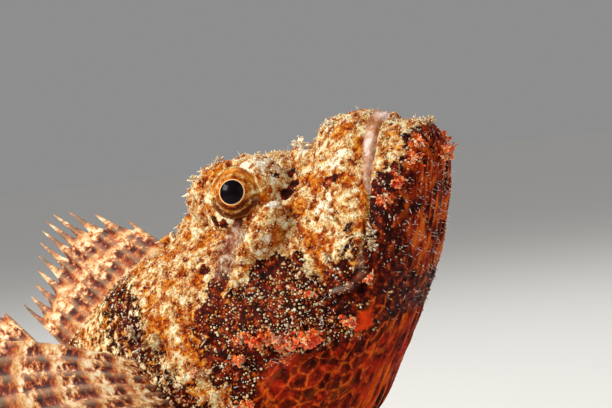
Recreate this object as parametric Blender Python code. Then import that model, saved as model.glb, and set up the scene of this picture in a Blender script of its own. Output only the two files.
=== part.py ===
"""Tasselled scorpionfish at life size, resting on its fins with its head and shoulders raised.

The fish is modelled straight, in millimetres, with its upper lip at x = 0, its nose along +X, its back
along +Z and its left side along +Y. Each piece is then posed, bent along the backbone, and set on z = 0.
"""
import math
import random

import bmesh
import bpy
import numpy as np
from mathutils import Matrix, Vector
from mathutils.bvhtree import BVHTree

MM = 0.001
GAP = 0.3

# Lengths along the fish, measured back from the upper lip
STANDARD_LENGTH = 262.0
TAIL_CUT = 190.0

# The stance: how far the nose and the tail are raised, and where the back bends between them
HEAD_PITCH = math.radians(44)
TAIL_PITCH = math.radians(6)
BEND_FROM, BEND_TO = 72.0, 226.0
TAIL_YAW = math.radians(13)
YAW_FROM, YAW_TO = 130.0, 262.0
TAIL_HEIGHT = 33.0

# Eye, on the left side
EYE = Vector((-50.0, 17.2, 19.2))
EYE_RADIUS = 9.9
EYE_AIM = Vector((0.22, 0.95, -0.05)).normalized()
LID_RADIUS = 9.0

# Half the distance between the inner faces of the gill covers, and a half width that clears the whole body
COVER_INSIDE = 21.0
CLEAR_WIDTH = 70.0

# The mouth seen from the side: its slope, its gape from the tip to the lips' corner, and the jaw's rear edge
MOUTH_SLOPE = math.radians(42.3)
GAPE = [(9.0, 7.4), (0.6, -1.5), (-41.5, -38.6)]
JAW_REAR = [(-46.5, -43.5), (-50.0, -50.0), (-51.5, -58.0), (-52.0, -75.0)]

# Rolls of the lips: height above the gape, thickness
UPPER_LIP = (1.45, 1.9)
LOWER_LIP = (-1.25, 1.6)

# The gill opening and the front edge of the gill cover, seen from the side
GILL_SLIT = [(-78, 60), (-84, 36), (-101, 19), (-119, 0), (-120, -14), (-110, -34), (-97, -48), (-92, -60),
             (-90, -80)]
COVER_EDGE = [(-118, 15), (-105, 17), (-93, 15), (-87.5, 9), (-88.5, -2), (-86.5, -14), (-81.5, -27),
              (-76, -38), (-74, -50), (-74, -70)]

# Front nostril, on the left side
NOSTRIL = (-27.5, 8.6, 15.2)
NOSTRIL_RADIUS = 2.0

# Fins on the midline: name, x of the first and last ray, number of rays, lengths and rakes in degrees from
# front to back, thickness of a ray and of the membrane, how far the membrane is cut back, on the back or not
MIDLINE_FINS = (
    ("dorsal_fin_spiny", -91, -162, 12, (18, 33, 41, 42, 39, 35, 31, 27, 27), (14, 24, 29, 33, 36),
     2.6, 1.1, 0.34, True),
    ("dorsal_fin_soft", -170, -207, 9, (32, 36, 37, 34, 27), (42, 47, 56), 2.2, 1.1, 0.05, True),
    ("anal_fin", -172, -206, 8, (14, 24, 33, 36, 31), (52, 60, 70), 2.4, 1.2, 0.05, False),
)
FIN_ROWS = 5
FIN_SUNK = 4.0
THINNEST_FIN = 0.55

# Section stations from the mouth's tip to the tail fin: x and z of the back, x and z of the belly,
# x, y and z of the side, then the fullness of the section above and below the side
STATIONS = (
    (0.6, -1.4, 0.6, -1.4, 0.6, 0.0, -1.4, 2.0, 2.0),
    (0.6, 1.4, 2.2, -4.4, -1.2, 6.0, -2.4, 2.1, 2.3),
    (-2.0, 5.6, 5.4, -8.4, -3.8, 10.8, -4.7, 2.1, 2.4),
    (-6.5, 10.0, 7.8, -14.8, -8.6, 15.4, -9.2, 2.1, 2.4),
    (-12.5, 13.0, 5.6, -21.6, -14.8, 19.4, -14.6, 2.0, 2.4),
    (-20.0, 14.0, -2.0, -28.0, -22.4, 22.8, -21.4, 1.9, 2.35),
    (-28.5, 14.6, -13.2, -34.8, -31.6, 25.6, -29.8, 1.8, 2.3),
    (-38.0, 17.4, -27.8, -43.0, -42.0, 28.0, -36.0, 1.75, 2.2),
    (-50.0, 21.4, -44.6, -49.8, -54.0, 30.8, -33.0, 1.7, 2.2),
    (-65.0, 25.6, -61.8, -55.6, -69.0, 33.6, -25.0, 1.8, 2.1),
    (-83.0, 33.0, -81.0, -60.6, -87.0, 35.4, -17.0, 1.9, 2.1),
    (-103.0, 37.4, -104.0, -59.0, -107.0, 34.4, -12.0, 2.0, 2.1),
    (-129.0, 38.0, -131.0, -53.0, -131.0, 29.8, -9.0, 2.0, 2.1),
    (-158.0, 32.2, -159.0, -43.0, -158.0, 22.0, -6.0, 2.0, 2.0),
    (-190.0, 22.6, -190.0, -29.0, -190.0, 13.6, -3.4, 2.0, 2.0),
    (-222.0, 15.2, -222.0, -18.0, -222.0, 7.8, -1.6, 2.0, 2.0),
    (-248.0, 12.6, -248.0, -14.6, -248.0, 4.8, -1.0, 2.0, 2.0),
    (-262.0, 13.6, -262.0, -15.4, -262.0, 3.0, -0.8, 2.2, 2.2),
)
TAIL_END = len(STATIONS) - 1

# The skin's mesh: how fine it is while the swellings grow together, and its triangles in the end
SKIN_STEP = 1.1
SKIN_SMOOTHING = 9
SKIN_TRIANGLES = 3300

# Swellings of the skin on the left side: centre, half sizes, tilt in degrees about Y.
# In turn: orbit, brow, snout, front nostril, upper jaw bone and its rear lobe, ridge below the eye,
# cheek, gill cover and its lower edge, chin, temple
SWELLINGS = (
    ((-51.0, 12.4, 18.0), (16.0, 12.4, 13.4), 0),
    ((-56.5, 13.0, 27.6), (13.5, 6.8, 8.6), 10),
    ((-16.6, 0.0, 7.6), (8.8, 10.0, 7.8), 10),
    ((-29.0, 7.6, 11.0), (4.2, 3.6, 5.2), 0),
    ((-36.0, 22.5, -25.6), (12.5, 7.4, 7.4), 42),
    ((-44.5, 24.0, -31.5), (6.6, 6.6, 8.6), 30),
    ((-58.0, 23.0, 0.5), (19.0, 8.6, 5.6), -14),
    ((-63.0, 21.0, -26.0), (19.0, 15.0, 16.5), -20),
    ((-99.0, 22.0, -12.0), (22.0, 15.4, 23.0), 0),
    ((-113.0, 21.5, -24.0), (9.5, 13.0, 20.0), 0),
    ((1.6, 0.0, -14.5), (6.8, 10.5, 8.0), 0),
    ((-75.0, 9.0, 25.0), (13.0, 5.6, 7.4), -14),
)

# Hollows of the skin on the left side: centre, reach, depth
HOLLOWS = (
    ((-34.0, 14.5, 8.5), (5.6, 6.0, 5.0), 2.4),
    ((-67.0, 0.0, 29.0), (7.5, 9.0, 8.0), 4.0),
    ((-56.0, 27.0, -38.0), (6.0, 9.0, 5.0), 2.0),
)

# Which way skin tassels hang, and how deep roots are sunk in the skin
HANG = np.array([-0.77, 0.0, -0.64])
ROOT_DEPTH = 1.6

# Head spines on the left side: place near the skin, the way they point, length, root radius
SPINES = (
    ((-24.0, 6.0, 14.0), (-0.5, 0.2, 0.8), 3.0, 1.0),
    ((-43.0, 15.0, 28.0), (-0.4, 0.4, 0.8), 4.2, 1.3),
    ((-53.0, 14.0, 36.0), (-0.8, 0.3, 0.6), 4.6, 1.4),
    ((-65.0, 13.0, 33.0), (-0.9, 0.1, 0.5), 6.0, 1.9),
    ((-75.0, 10.0, 32.0), (-0.9, 0.1, 0.5), 5.4, 1.6),
    ((-85.0, 9.0, 34.0), (-0.9, 0.1, 0.5), 5.6, 1.6),
    ((-49.0, 30.0, 3.0), (-0.8, 0.6, 0.1), 3.6, 1.3),
    ((-60.0, 32.0, 0.0), (-0.8, 0.6, 0.1), 4.2, 1.4),
    ((-71.0, 33.0, -3.0), (-0.9, 0.5, 0.0), 4.8, 1.5),
    ((-83.0, 36.0, -9.0), (-0.9, 0.5, -0.1), 8.0, 1.9),
    ((-80.0, 36.0, -19.0), (-0.8, 0.5, -0.3), 4.4, 1.4),
    ((-105.0, 37.0, 6.0), (-0.9, 0.45, 0.2), 8.0, 1.6),
    ((-105.0, 38.0, -6.0), (-0.9, 0.5, -0.1), 7.4, 1.6),
    ((-31.0, 25.0, -13.0), (0.2, 0.7, -0.7), 4.2, 1.5),
)

# Skin tassels on the left side: place near the skin, how much they hang, length, width, side branches.
# In turn: chin and lower jaw, cheek's lower edge, upper jaw, brow and nostril, gill cover, flank
TASSELS = (
    ((8.5, 5.0, -13.0), 0.0, 6.0, 2.6, 2), ((7.5, 4.0, -21.0), 0.0, 7.5, 3.0, 2),
    ((3.0, 11.0, -14.0), 0.1, 6.0, 3.0, 2), ((0.5, 12.5, -20.5), 0.2, 6.5, 3.0, 2),
    ((-6.0, 17.0, -22.0), 0.3, 5.5, 2.8, 2), ((-12.0, 19.0, -25.0), 0.4, 5.0, 2.6, 1),
    ((-19.0, 21.5, -27.5), 0.4, 5.0, 2.6, 1), ((-28.0, 24.0, -34.0), 0.5, 5.0, 2.6, 1),
    ((-78.0, 31.0, -26.0), 0.9, 6.5, 3.4, 2), ((-72.5, 31.0, -30.5), 0.9, 7.5, 3.8, 2),
    ((-66.0, 31.0, -35.0), 0.9, 7.5, 3.8, 2), ((-59.0, 29.0, -38.5), 0.9, 6.5, 3.4, 2),
    ((-52.5, 28.0, -41.0), 0.9, 6.0, 3.4, 2),
    ((-47.5, 30.0, -29.0), 0.5, 4.6, 2.4, 1), ((-40.0, 30.0, -21.0), 0.4, 3.6, 2.0, 0),
    ((-47.0, 15.0, 33.0), -0.2, 4.0, 1.8, 0), ((-59.0, 14.0, 37.0), -0.2, 4.0, 1.8, 1),
    ((-27.5, 8.0, 16.5), -0.3, 6.0, 2.2, 2), ((-14.0, 8.0, 13.0), -0.2, 3.0, 1.8, 0),
    ((-97.0, 37.0, -14.0), 0.5, 5.0, 2.6, 1), ((-92.0, 34.0, -32.0), 0.7, 5.0, 2.8, 1),
    ((-112.0, 33.0, 16.0), 0.3, 4.4, 2.4, 0), ((-134.0, 28.0, 12.0), 0.3, 4.4, 2.4, 0),
    ((-155.0, 22.0, 8.0), 0.3, 4.2, 2.2, 0), ((-178.0, 16.0, 5.0), 0.3, 4.0, 2.0, 0),
    ((-202.0, 11.0, 3.0), 0.3, 3.6, 1.8, 0), ((-226.0, 7.0, 1.0), 0.3, 3.2, 1.6, 0),
)
FORM_SEED = 7

# A tassel's outline beyond its root for each number of side branches, in widths and lengths, with its
# triangles
TASSEL_OUTLINES = (
    ([(0.5, 0.4), (0.05, 1.0), (-0.5, 0.38)], [(0, 1, 2), (0, 2, 4), (4, 2, 3)]),
    ([(0.5, 0.32), (0.72, 0.78), (0.16, 0.56), (-0.1, 1.0), (-0.48, 0.36)],
     [(0, 1, 2), (0, 2, 6), (2, 3, 4), (6, 2, 4), (6, 4, 5)]),
    ([(0.5, 0.3), (0.78, 0.8), (0.22, 0.58), (0.03, 1.0), (-0.2, 0.54), (-0.74, 0.72), (-0.5, 0.28)],
     [(0, 1, 2), (0, 2, 8), (2, 3, 4), (8, 2, 4), (8, 4, 6), (4, 5, 6), (6, 7, 8)]),
)

# Facets of a ball: around, and from top to bottom
EYE_FACETS = (18, 11)
SWELLING_FACETS = (28, 18)

SKIN = (0.62, 0.40, 0.27)
THROAT = (0.55, 0.12, 0.04)
FIN = (0.50, 0.24, 0.14)
IRIS = (0.25, 0.12, 0.03)


def ease(value):
    """A smooth step from 0 to 1."""
    value = np.clip(value, 0.0, 1.0)
    return value * value * (3 - 2 * value)


def spline(rows, place):
    """Catmull-Rom value of every column of rows at the given places, counted in rows."""
    rows = np.asarray(rows, float)
    place = np.clip(np.asarray(place, float), 0, len(rows) - 1)
    start = np.minimum(place.astype(int), len(rows) - 2)
    part = (place - start)[..., None]
    before, here = rows[np.maximum(start - 1, 0)], rows[start]
    there, after = rows[start + 1], rows[np.minimum(start + 2, len(rows) - 1)]
    bend = 2 * before - 5 * here + 4 * there - after
    turn = 3 * here - before - 3 * there + after
    return 0.5 * (2 * here + (there - before) * part + bend * part**2 + turn * part**3)


# Pose

def backbone():
    """Places, forward, up and left directions of the posed backbone, every half millimetre."""
    step = 0.5
    along = np.arange(-30.0, 400.0, step)
    pitch = HEAD_PITCH + (TAIL_PITCH - HEAD_PITCH) * ease((along - BEND_FROM) / (BEND_TO - BEND_FROM))
    yaw = TAIL_YAW * ease((along - YAW_FROM) / (YAW_TO - YAW_FROM)) * -1
    forward = np.stack([np.cos(pitch) * np.cos(yaw), np.cos(pitch) * np.sin(yaw), np.sin(pitch)], 1)
    up = np.stack([-np.sin(pitch) * np.cos(yaw), -np.sin(pitch) * np.sin(yaw), np.cos(pitch)], 1)
    left = np.stack([-np.sin(yaw), np.cos(yaw), np.zeros_like(yaw)], 1)
    place = np.cumsum(-forward * step, axis=0)
    tail = np.searchsorted(along, STANDARD_LENGTH)
    place[:, 2] += TAIL_HEIGHT - place[tail, 2]
    return along, place, forward, up, left


BACKBONE = backbone()


def posed(points):
    """Points of the straight fish, carried to where they lie on the bent fish."""
    points = np.asarray(points, float).reshape(-1, 3)
    along, place, _, up, left = BACKBONE

    def at(table):
        return np.stack([np.interp(-points[:, 0], along, table[:, k]) for k in range(3)], 1)

    return at(place) + at(up) * points[:, 2:3] + at(left) * points[:, 1:2]


# Body surface

def hollow(points, centre, reach, depth):
    """Pulls points in towards the backbone around a centre."""
    away = (points - centre) / reach
    share = np.exp(-1.5 * (away**2).sum(1, keepdims=True))
    inward = np.array([[0.0, -1.0, -1.0]]) * np.sign(np.array([[1, max(centre[1], 0.0), 1]]))
    return points + inward / max(np.linalg.norm(inward), 1) * share * depth


def hollowed(points):
    """Adds the hollows of the head, alike on both sides."""
    mirror = np.array([1, -1, 1])
    for centre, reach, depth in HOLLOWS:
        points = hollow(points, np.array(centre), np.array(reach), depth)
        if centre[1]:
            points = hollow(points * mirror, np.array(centre), np.array(reach), depth) * mirror
    return points


def rings(places, above, below):
    """Points of the body's cross sections: one row for each place, round from the back by the left side."""
    guide = spline(STATIONS, places)[:, None, :]
    upper = np.linspace(0, math.pi / 2, above + 1)
    lower = np.linspace(math.pi / 2, 0, below + 1)[1:]
    arcs = []
    for angle, first, fullness in ((upper, 0, 7), (lower, 2, 8)):
        power = 2 / guide[..., fullness]
        rise = np.cos(angle)[None] ** power
        out = np.sin(angle)[None] ** power
        x = guide[..., 4] + (guide[..., first] - guide[..., 4]) * rise
        z = guide[..., 6] + (guide[..., first + 1] - guide[..., 6]) * rise
        arcs.append(np.stack([x, guide[..., 5] * out, z], 2))
    left = np.concatenate(arcs, axis=1)
    right = left[:, -2:0:-1] * np.array([1, -1, 1])
    return np.concatenate([left, right], axis=1)


def tube_faces(rows, columns):
    """Triangles of a closed tube of rings, wound to face out, without its ends."""
    faces = []
    for row in range(rows - 1):
        for column in range(columns):
            a = row * columns + column
            b = row * columns + (column + 1) % columns
            c, d = a + columns, b + columns
            faces += [(a, b, d), (a, d, c)]
    return faces


def tube_of_sections():
    """The trunk and head without their swellings, as a closed tube."""
    grid = rings(np.concatenate([np.linspace(0.34, 1, 3), np.arange(1.25, TAIL_END + 0.1, 0.25)]), 16, 12)
    rows, columns = grid.shape[:2]
    tip = spline(STATIONS, np.array([0.0]))[0, [4, 5, 6]]
    end = grid[-1].mean(0) - np.array([1.5, 0, 0])
    points = np.vstack([grid.reshape(-1, 3), tip, end])
    faces = tube_faces(rows, columns)
    tip_index, end_index = rows * columns, rows * columns + 1
    for column in range(columns):
        following = (column + 1) % columns
        last = (rows - 1) * columns
        faces.append((tip_index, following, column))
        faces.append((end_index, last + column, last + following))
    return solid("body", points, faces)


def swelling(centre, half, tilt, side):
    """One swelling, as an ellipsoid."""
    made = ball("swelling", (0, 0, 0), 1.0, SWELLING_FACETS)
    turn = Matrix.Rotation(math.radians(tilt), 4, "Y")
    place = Matrix.Translation(Vector(mirrored(centre, side)))
    made.data.transform(place @ turn @ Matrix.Diagonal((*half, 1)))
    return made


def body_skin():
    """The whole body as one closed skin, head to tail fin, its swellings grown together."""
    body = tube_of_sections()
    lumps = [swelling(*row, side) for row in SWELLINGS for side in ((1, -1) if row[0][1] else (1,))]
    edit = bmesh.new()
    for made in [body] + lumps:
        edit.from_mesh(made.data)
    edit.to_mesh(body.data)
    edit.free()
    for made in lumps:
        bpy.data.objects.remove(made)
    grow = body.modifiers.new("grow", "REMESH")
    grow.mode, grow.voxel_size = "VOXEL", SKIN_STEP
    even = body.modifiers.new("even", "SMOOTH")
    even.factor, even.iterations = 0.5, SKIN_SMOOTHING
    applied(body)
    for vert, point in zip(body.data.vertices, hollowed(np.array([v.co for v in body.data.vertices]))):
        vert.co = point
    fewer = body.modifiers.new("fewer", "DECIMATE")
    fewer.ratio = SKIN_TRIANGLES / (2 * len(body.data.polygons))
    applied(body)
    return largest_piece(body)


# Meshes and Booleans

def solid(name, points, faces, outward=True):
    """An object with these points and faces, its normals facing out."""
    mesh = bpy.data.meshes.new(name)
    mesh.from_pydata([tuple(p) for p in points], [], [tuple(f) for f in faces])
    if outward:
        edit = bmesh.new()
        edit.from_mesh(mesh)
        bmesh.ops.recalc_face_normals(edit, faces=edit.faces)
        edit.to_mesh(mesh)
        edit.free()
    made = bpy.data.objects.new(name, mesh)
    bpy.context.scene.collection.objects.link(made)
    return made


def largest_piece(made):
    """Keeps only the largest closed surface of a mesh, as triangles."""
    edit = bmesh.new()
    edit.from_mesh(made.data)
    bmesh.ops.triangulate(edit, faces=edit.faces)
    left, pieces = set(edit.faces), []
    while left:
        piece, queue = set(), [left.pop()]
        while queue:
            face = queue.pop()
            piece.add(face)
            near = {f for edge in face.edges if len(edge.link_faces) == 2 for f in edge.link_faces}
            queue += near & left
            left -= near
        size = sum(f.verts[0].co.dot(f.verts[1].co.cross(f.verts[2].co)) for f in piece)
        pieces.append((abs(size), piece))
    pieces.sort(key=lambda pair: -pair[0])
    drop = [face for _, piece in pieces[1:] for face in piece]
    bmesh.ops.delete(edit, geom=drop, context="FACES")
    edit.to_mesh(made.data)
    edit.free()
    return made


def applied(made):
    """Turns an object's modifiers into its mesh."""
    bpy.context.view_layer.update()
    result = bpy.data.meshes.new_from_object(made.evaluated_get(bpy.context.evaluated_depsgraph_get()))
    made.modifiers.clear()
    made.data = result


def boolean(made, tools, operation, solver="EXACT"):
    """Joins tools to a mesh, cuts them from it, or keeps what they share, and removes the tools."""
    group = bpy.data.collections.new("tools")
    bpy.context.scene.collection.children.link(group)
    for tool in tools:
        bpy.context.scene.collection.objects.unlink(tool)
        group.objects.link(tool)
    change = made.modifiers.new("change", "BOOLEAN")
    change.operation, change.solver = operation, solver
    change.operand_type, change.collection = "COLLECTION", group
    applied(made)
    for tool in tools:
        bpy.data.objects.remove(tool)
    bpy.data.collections.remove(group)
    return made


def copy_of(made, name):
    """A separate copy of an object with its own mesh."""
    twin = made.copy()
    twin.data = made.data.copy()
    twin.name = name
    bpy.context.scene.collection.objects.link(twin)
    return twin


def swollen(made, amount):
    """A copy of a mesh, grown along its normals."""
    twin = copy_of(made, made.name + "_grown")
    edit = bmesh.new()
    edit.from_mesh(twin.data)
    edit.normal_update()
    moves = [(vert, vert.normal.copy()) for vert in edit.verts]
    for vert, normal in moves:
        vert.co += normal * amount
    edit.to_mesh(twin.data)
    edit.free()
    return twin


def prism(name, outline, low, high):
    """A closed prism: an outline in x and z, extruded along y from low to high."""
    count = len(outline)
    points = [(x, y, z) for y in (low, high) for x, z in outline]
    sides = [(i, (i + 1) % count, count + (i + 1) % count, count + i) for i in range(count)]
    return solid(name, points, sides + [tuple(range(count))[::-1], tuple(range(count, 2 * count))])


def slit(name, path, width=GAP):
    """A thin curved wall that follows a path seen from the side, as wide as the body."""
    path = np.asarray(path, float)
    along = np.gradient(path, axis=0)
    along /= np.linalg.norm(along, axis=1, keepdims=True)
    across = np.stack([-along[:, 1], along[:, 0]], 1) * width / 2
    outline = np.vstack([path + across, (path - across)[::-1]])
    return prism(name, outline, -CLEAR_WIDTH, CLEAR_WIDTH)


def halves(made, wall, names):
    """Parts a mesh in two with a thin wall: the larger piece takes the first name."""
    cut = boolean(made, [wall], "DIFFERENCE")
    edit = bmesh.new()
    edit.from_mesh(cut.data)
    bmesh.ops.triangulate(edit, faces=edit.faces)
    edit.to_mesh(cut.data)
    edit.free()
    rest = copy_of(cut, names[1])
    largest_piece(cut)
    cut.name = names[0]
    kept = {tuple(round(c, 4) for c in v.co) for v in cut.data.vertices}
    edit = bmesh.new()
    edit.from_mesh(rest.data)
    drop = [v for v in edit.verts if tuple(round(c, 4) for c in v.co) in kept]
    bmesh.ops.delete(edit, geom=drop, context="VERTS")
    edit.to_mesh(rest.data)
    edit.free()
    return cut, largest_piece(rest)


# Small forms on the head

def both_sides(build):
    """Builds a piece for the left and for the right side."""
    return [build(1), build(-1)]


def mirrored(point, side):
    """A point of the left side, or its mirror image on the right."""
    return np.array([point[0], point[1] * side, point[2]], float)


def swept(name, path, radii, count, closed=False):
    """A closed tube of given radii along a path, with a point at each end or joined into a loop."""
    path = np.asarray(path, float)
    ahead = np.roll(path, -1, 0) - np.roll(path, 1, 0) if closed else np.gradient(path, axis=0)
    ahead /= np.linalg.norm(ahead, axis=1, keepdims=True)
    if closed:
        spare = np.cross(path - path.mean(0), np.roll(path, -1, 0) - path.mean(0)).sum(0)
    else:
        spare = np.eye(3)[np.argmin(np.abs(ahead).max(0))]
    first = np.cross(ahead, spare)
    first /= np.linalg.norm(first, axis=1, keepdims=True)
    second = np.cross(ahead, first)
    angle = np.arange(count) * 2 * math.pi / count
    circle = np.cos(angle)[None, :, None] * first[:, None] + np.sin(angle)[None, :, None] * second[:, None]
    grid = path[:, None] + circle * np.asarray(radii, float)[:, None, None]
    rows = len(path)
    if closed:
        grid = np.vstack([grid, grid[:1]])
        points = grid[:-1].reshape(-1, 3)
        faces = [tuple(i % (rows * count) for i in f) for f in tube_faces(rows + 1, count)]
        return solid(name, points, faces)
    points = np.vstack([grid.reshape(-1, 3), path[0], path[-1]])
    faces = tube_faces(rows, count)
    for i in range(count):
        faces.append((rows * count, (i + 1) % count, i))
        faces.append((rows * count + 1, (rows - 1) * count + i, (rows - 1) * count + (i + 1) % count))
    return solid(name, points, faces)


def mouth_edge(offset, out, reach):
    """A line along the mouth from side to side, a given distance above the gape and outside the skin."""
    places = np.linspace(0.35, reach, 9)
    guide = spline(STATIONS, places)
    up = np.array([-math.sin(MOUTH_SLOPE), 0, math.cos(MOUTH_SLOPE)])
    left = guide[:, [4, 5, 6]] + up * offset
    left[:, 1] += out
    tip = np.array([[1.2 + out * 0.4, 0, -1.2]]) + up * offset
    right = left * np.array([1, -1, 1])
    return np.vstack([right[::-1], tip, left])


def lips():
    """The rolls of the upper and the lower lip, from corner to corner."""
    made = []
    for name, (offset, thick) in (("upper_lip", UPPER_LIP), ("lower_lip", LOWER_LIP)):
        path = mouth_edge(offset, 0.1, 6.2)
        ends = np.minimum(np.arange(len(path)), np.arange(len(path))[::-1])
        made.append(swept(name, path, thick * (0.35 + 0.65 * ease(ends / 3.0)), 6))
    return made


def lid(side):
    """The raised fold of skin round an eye."""
    centre, aim = mirrored(EYE, side), mirrored(EYE_AIM, side)
    across = np.cross(aim, [0, 0, 1.0])
    across /= np.linalg.norm(across)
    rise = np.cross(across, aim)
    depth = math.sqrt(EYE_RADIUS**2 - LID_RADIUS**2)
    count = 16
    angle = np.linspace(0, 2 * math.pi, count, endpoint=False)[:, None]
    path = centre + aim * (depth - 0.4) + (np.cos(angle) * across + np.sin(angle) * rise) * (LID_RADIUS + 0.9)
    return swept("lid", path, np.full(count, 1.35), 5, closed=True)


def socket(side):
    """The ball that an eye's hollow is cut with."""
    return ball("socket", mirrored(EYE, side), EYE_RADIUS + GAP, EYE_FACETS)


def opening(side):
    """A round plug that clears the skin off the eye inside its lid."""
    mesh = bpy.data.meshes.new("opening")
    edit = bmesh.new()
    radius, depth = LID_RADIUS + GAP, 2 * EYE_RADIUS + GAP
    bmesh.ops.create_cone(edit, cap_ends=True, segments=16, radius1=radius, radius2=radius, depth=depth)
    bmesh.ops.translate(edit, verts=edit.verts, vec=Vector((0, 0, depth / 2)))
    aim = Vector(mirrored(EYE_AIM, side))
    turn = aim.to_track_quat("Z", "Y").to_matrix().to_4x4()
    bmesh.ops.transform(edit, verts=edit.verts, matrix=Matrix.Translation(Vector(mirrored(EYE, side))) @ turn)
    edit.to_mesh(mesh)
    edit.free()
    made = bpy.data.objects.new("opening", mesh)
    bpy.context.scene.collection.objects.link(made)
    return made


def nostril(side):
    """The raised rim of the front nostril."""
    count = 10
    angle = np.linspace(0, 2 * math.pi, count, endpoint=False)[:, None]
    ring = np.hstack([np.cos(angle), 0.7 * np.sin(angle) * side, -0.45 * np.sin(angle)]) * NOSTRIL_RADIUS
    return swept("nostril", mirrored(NOSTRIL, side) + ring, np.full(count, 0.9), 5, closed=True)


def blade(path, widths, thicknesses, wide):
    """A closed blade along a path, flat across, with four-cornered sections."""
    path = np.asarray(path, float)
    along = path[-1] - path[0]
    thin = np.cross(along, wide)
    thin /= np.linalg.norm(thin)
    wide = np.cross(thin, along)
    wide /= np.linalg.norm(wide)
    points = []
    for place, width, thickness in zip(path, widths, thicknesses):
        aside, over = wide * width, thin * thickness
        points += [place + aside, place + over, place - aside, place - over]
    last = len(points) - 4
    faces = tube_faces(len(path), 4) + [(0, 1, 2), (0, 2, 3)]
    faces += [(last, last + 2, last + 1), (last, last + 3, last + 2)]
    return solid("blade", points, faces)


def skin_place(skin, guess, side):
    """The nearest point of the skin, and the way it faces there."""
    place, normal, _, _ = skin.find_nearest(Vector(mirrored(guess, side)))
    return np.array(place), np.array(normal)


def spine(skin, guess, aim, length, radius, side):
    """A sharp head spine with its root sunk in the skin."""
    place, normal = skin_place(skin, guess, side)
    aim = mirrored(aim, side)
    aim /= np.linalg.norm(aim)
    root = place - (aim * 0.5 + normal * 0.5) * ROOT_DEPTH * 1.5
    path = [root, place + aim * length * 0.35, place + aim * length]
    return blade(path, (radius * 1.1, radius * 0.7, 0.12), (radius, radius * 0.6, 0.12), normal)


def tassel(skin, guess, hang, length, width, branches, side, draw):
    """A flat skin tassel that ends in one to three tips."""
    place, normal = skin_place(skin, guess, side)
    stray = np.array([draw.uniform(-0.15, 0.15) for _ in range(3)])
    aim = normal * (1 - abs(hang) * 0.5) + HANG * hang + stray
    aim /= np.linalg.norm(aim)
    wide = np.cross(aim, np.array([0.2, side, 0.5]))
    wide /= np.linalg.norm(wide)
    thin = np.cross(aim, wide)
    length *= draw.uniform(0.9, 1.1)
    root = -ROOT_DEPTH / length
    outline = TASSEL_OUTLINES[branches]
    points = []
    for face in (1, -1):
        for across, along in [(-0.42, root), (0.42, root)] + outline[0]:
            thick = 0.75 - 0.48 * max(along, 0)
            points.append(place + wide * across * width + aim * along * length + thin * thick * face)
    count = len(points) // 2
    faces = outline[1] + [(c + count, b + count, a + count) for a, b, c in outline[1]]
    for here in range(count):
        there = (here + 1) % count
        faces += [(there, here, here + count), (there, here + count, there + count)]
    return solid("tassel", points, faces)


def skin_forms(body):
    """The head spines and skin tassels of both sides."""
    faces = [tuple(p.vertices) for p in body.data.polygons]
    skin = BVHTree.FromPolygons([v.co for v in body.data.vertices], faces)
    made = []
    for side in (1, -1):
        draw = random.Random(FORM_SEED)
        for row in SPINES:
            made.append(spine(skin, *row, side))
        for row in TASSELS:
            made.append(tassel(skin, *row, side, draw))
    return made


# Eyes

def eyeball(side):
    """An eye as a ball that looks out of its socket."""
    name = "eye_left" if side > 0 else "eye_right"
    return ball(name, mirrored(EYE, side), EYE_RADIUS, EYE_FACETS)


def ball(name, centre, radius, facets):
    """A sphere made of rings."""
    mesh = bpy.data.meshes.new(name)
    edit = bmesh.new()
    bmesh.ops.create_uvsphere(edit, u_segments=facets[0], v_segments=facets[1], radius=radius)
    bmesh.ops.triangulate(edit, faces=edit.faces)
    bmesh.ops.translate(edit, verts=edit.verts, vec=Vector(centre))
    edit.to_mesh(mesh)
    edit.free()
    made = bpy.data.objects.new(name, mesh)
    bpy.context.scene.collection.objects.link(made)
    return made


# Fins

def fin_solid(name, centres, normals, thickness):
    """A closed fin: a grid of points, root to tip in rows, with a thickness along the normals."""
    rows, columns = centres.shape[:2]
    half = normals * thickness[..., None] / 2
    points = np.vstack([(centres + half).reshape(-1, 3), (centres - half).reshape(-1, 3)])
    size, faces = rows * columns, []
    for row in range(rows - 1):
        for column in range(columns - 1):
            a = row * columns + column
            b, c, d = a + 1, a + columns, a + columns + 1
            faces += [(a, b, d), (a, d, c), (size + a, size + d, size + b), (size + a, size + c, size + d)]
    edge = [(0, column) for column in range(columns)]
    edge += [(row, columns - 1) for row in range(1, rows)]
    edge += [(rows - 1, column) for column in range(columns - 2, -1, -1)]
    edge += [(row, 0) for row in range(rows - 2, 0, -1)]
    around = [row * columns + column for row, column in edge]
    for here, there in zip(around, around[1:] + around[:1]):
        faces += [(here, size + here, size + there), (here, size + there, there)]
    return solid(name, points, faces)


def fan(roots, directions, lengths, droop, rows, ray, web, notch):
    """Centre points, normals and thicknesses of a fin whose rays spread from its roots.

    Every second column is a ray; the columns between are the membrane, cut back by notch.
    """
    count = len(roots)
    columns = 2 * count - 1
    spot = np.arange(columns) / 2
    root = spline(roots, spot)
    aim = spline(directions, spot)
    aim /= np.linalg.norm(aim, axis=1, keepdims=True)
    length = spline(np.asarray(lengths, float)[:, None], spot)[:, 0]
    is_ray = np.arange(columns) % 2 == 0
    length = length * np.where(is_ray, 1.0, 1.0 - notch)
    share = np.linspace(0, 1, rows)
    run = share[:, None, None] * length[None, :, None]
    fall = np.asarray(droop, float) * (share**2)[:, None, None] * length[None, :, None]
    centres = root[None] + aim[None] * run + fall
    across = np.gradient(centres, axis=1)
    along = np.gradient(centres, axis=0)
    normals = np.cross(along, across)
    normals /= np.linalg.norm(normals, axis=2, keepdims=True)
    thick = np.where(is_ray, ray, web)[None] * (1 - 0.62 * share[:, None])
    return centres, normals, np.maximum(thick, THINNEST_FIN)


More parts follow.
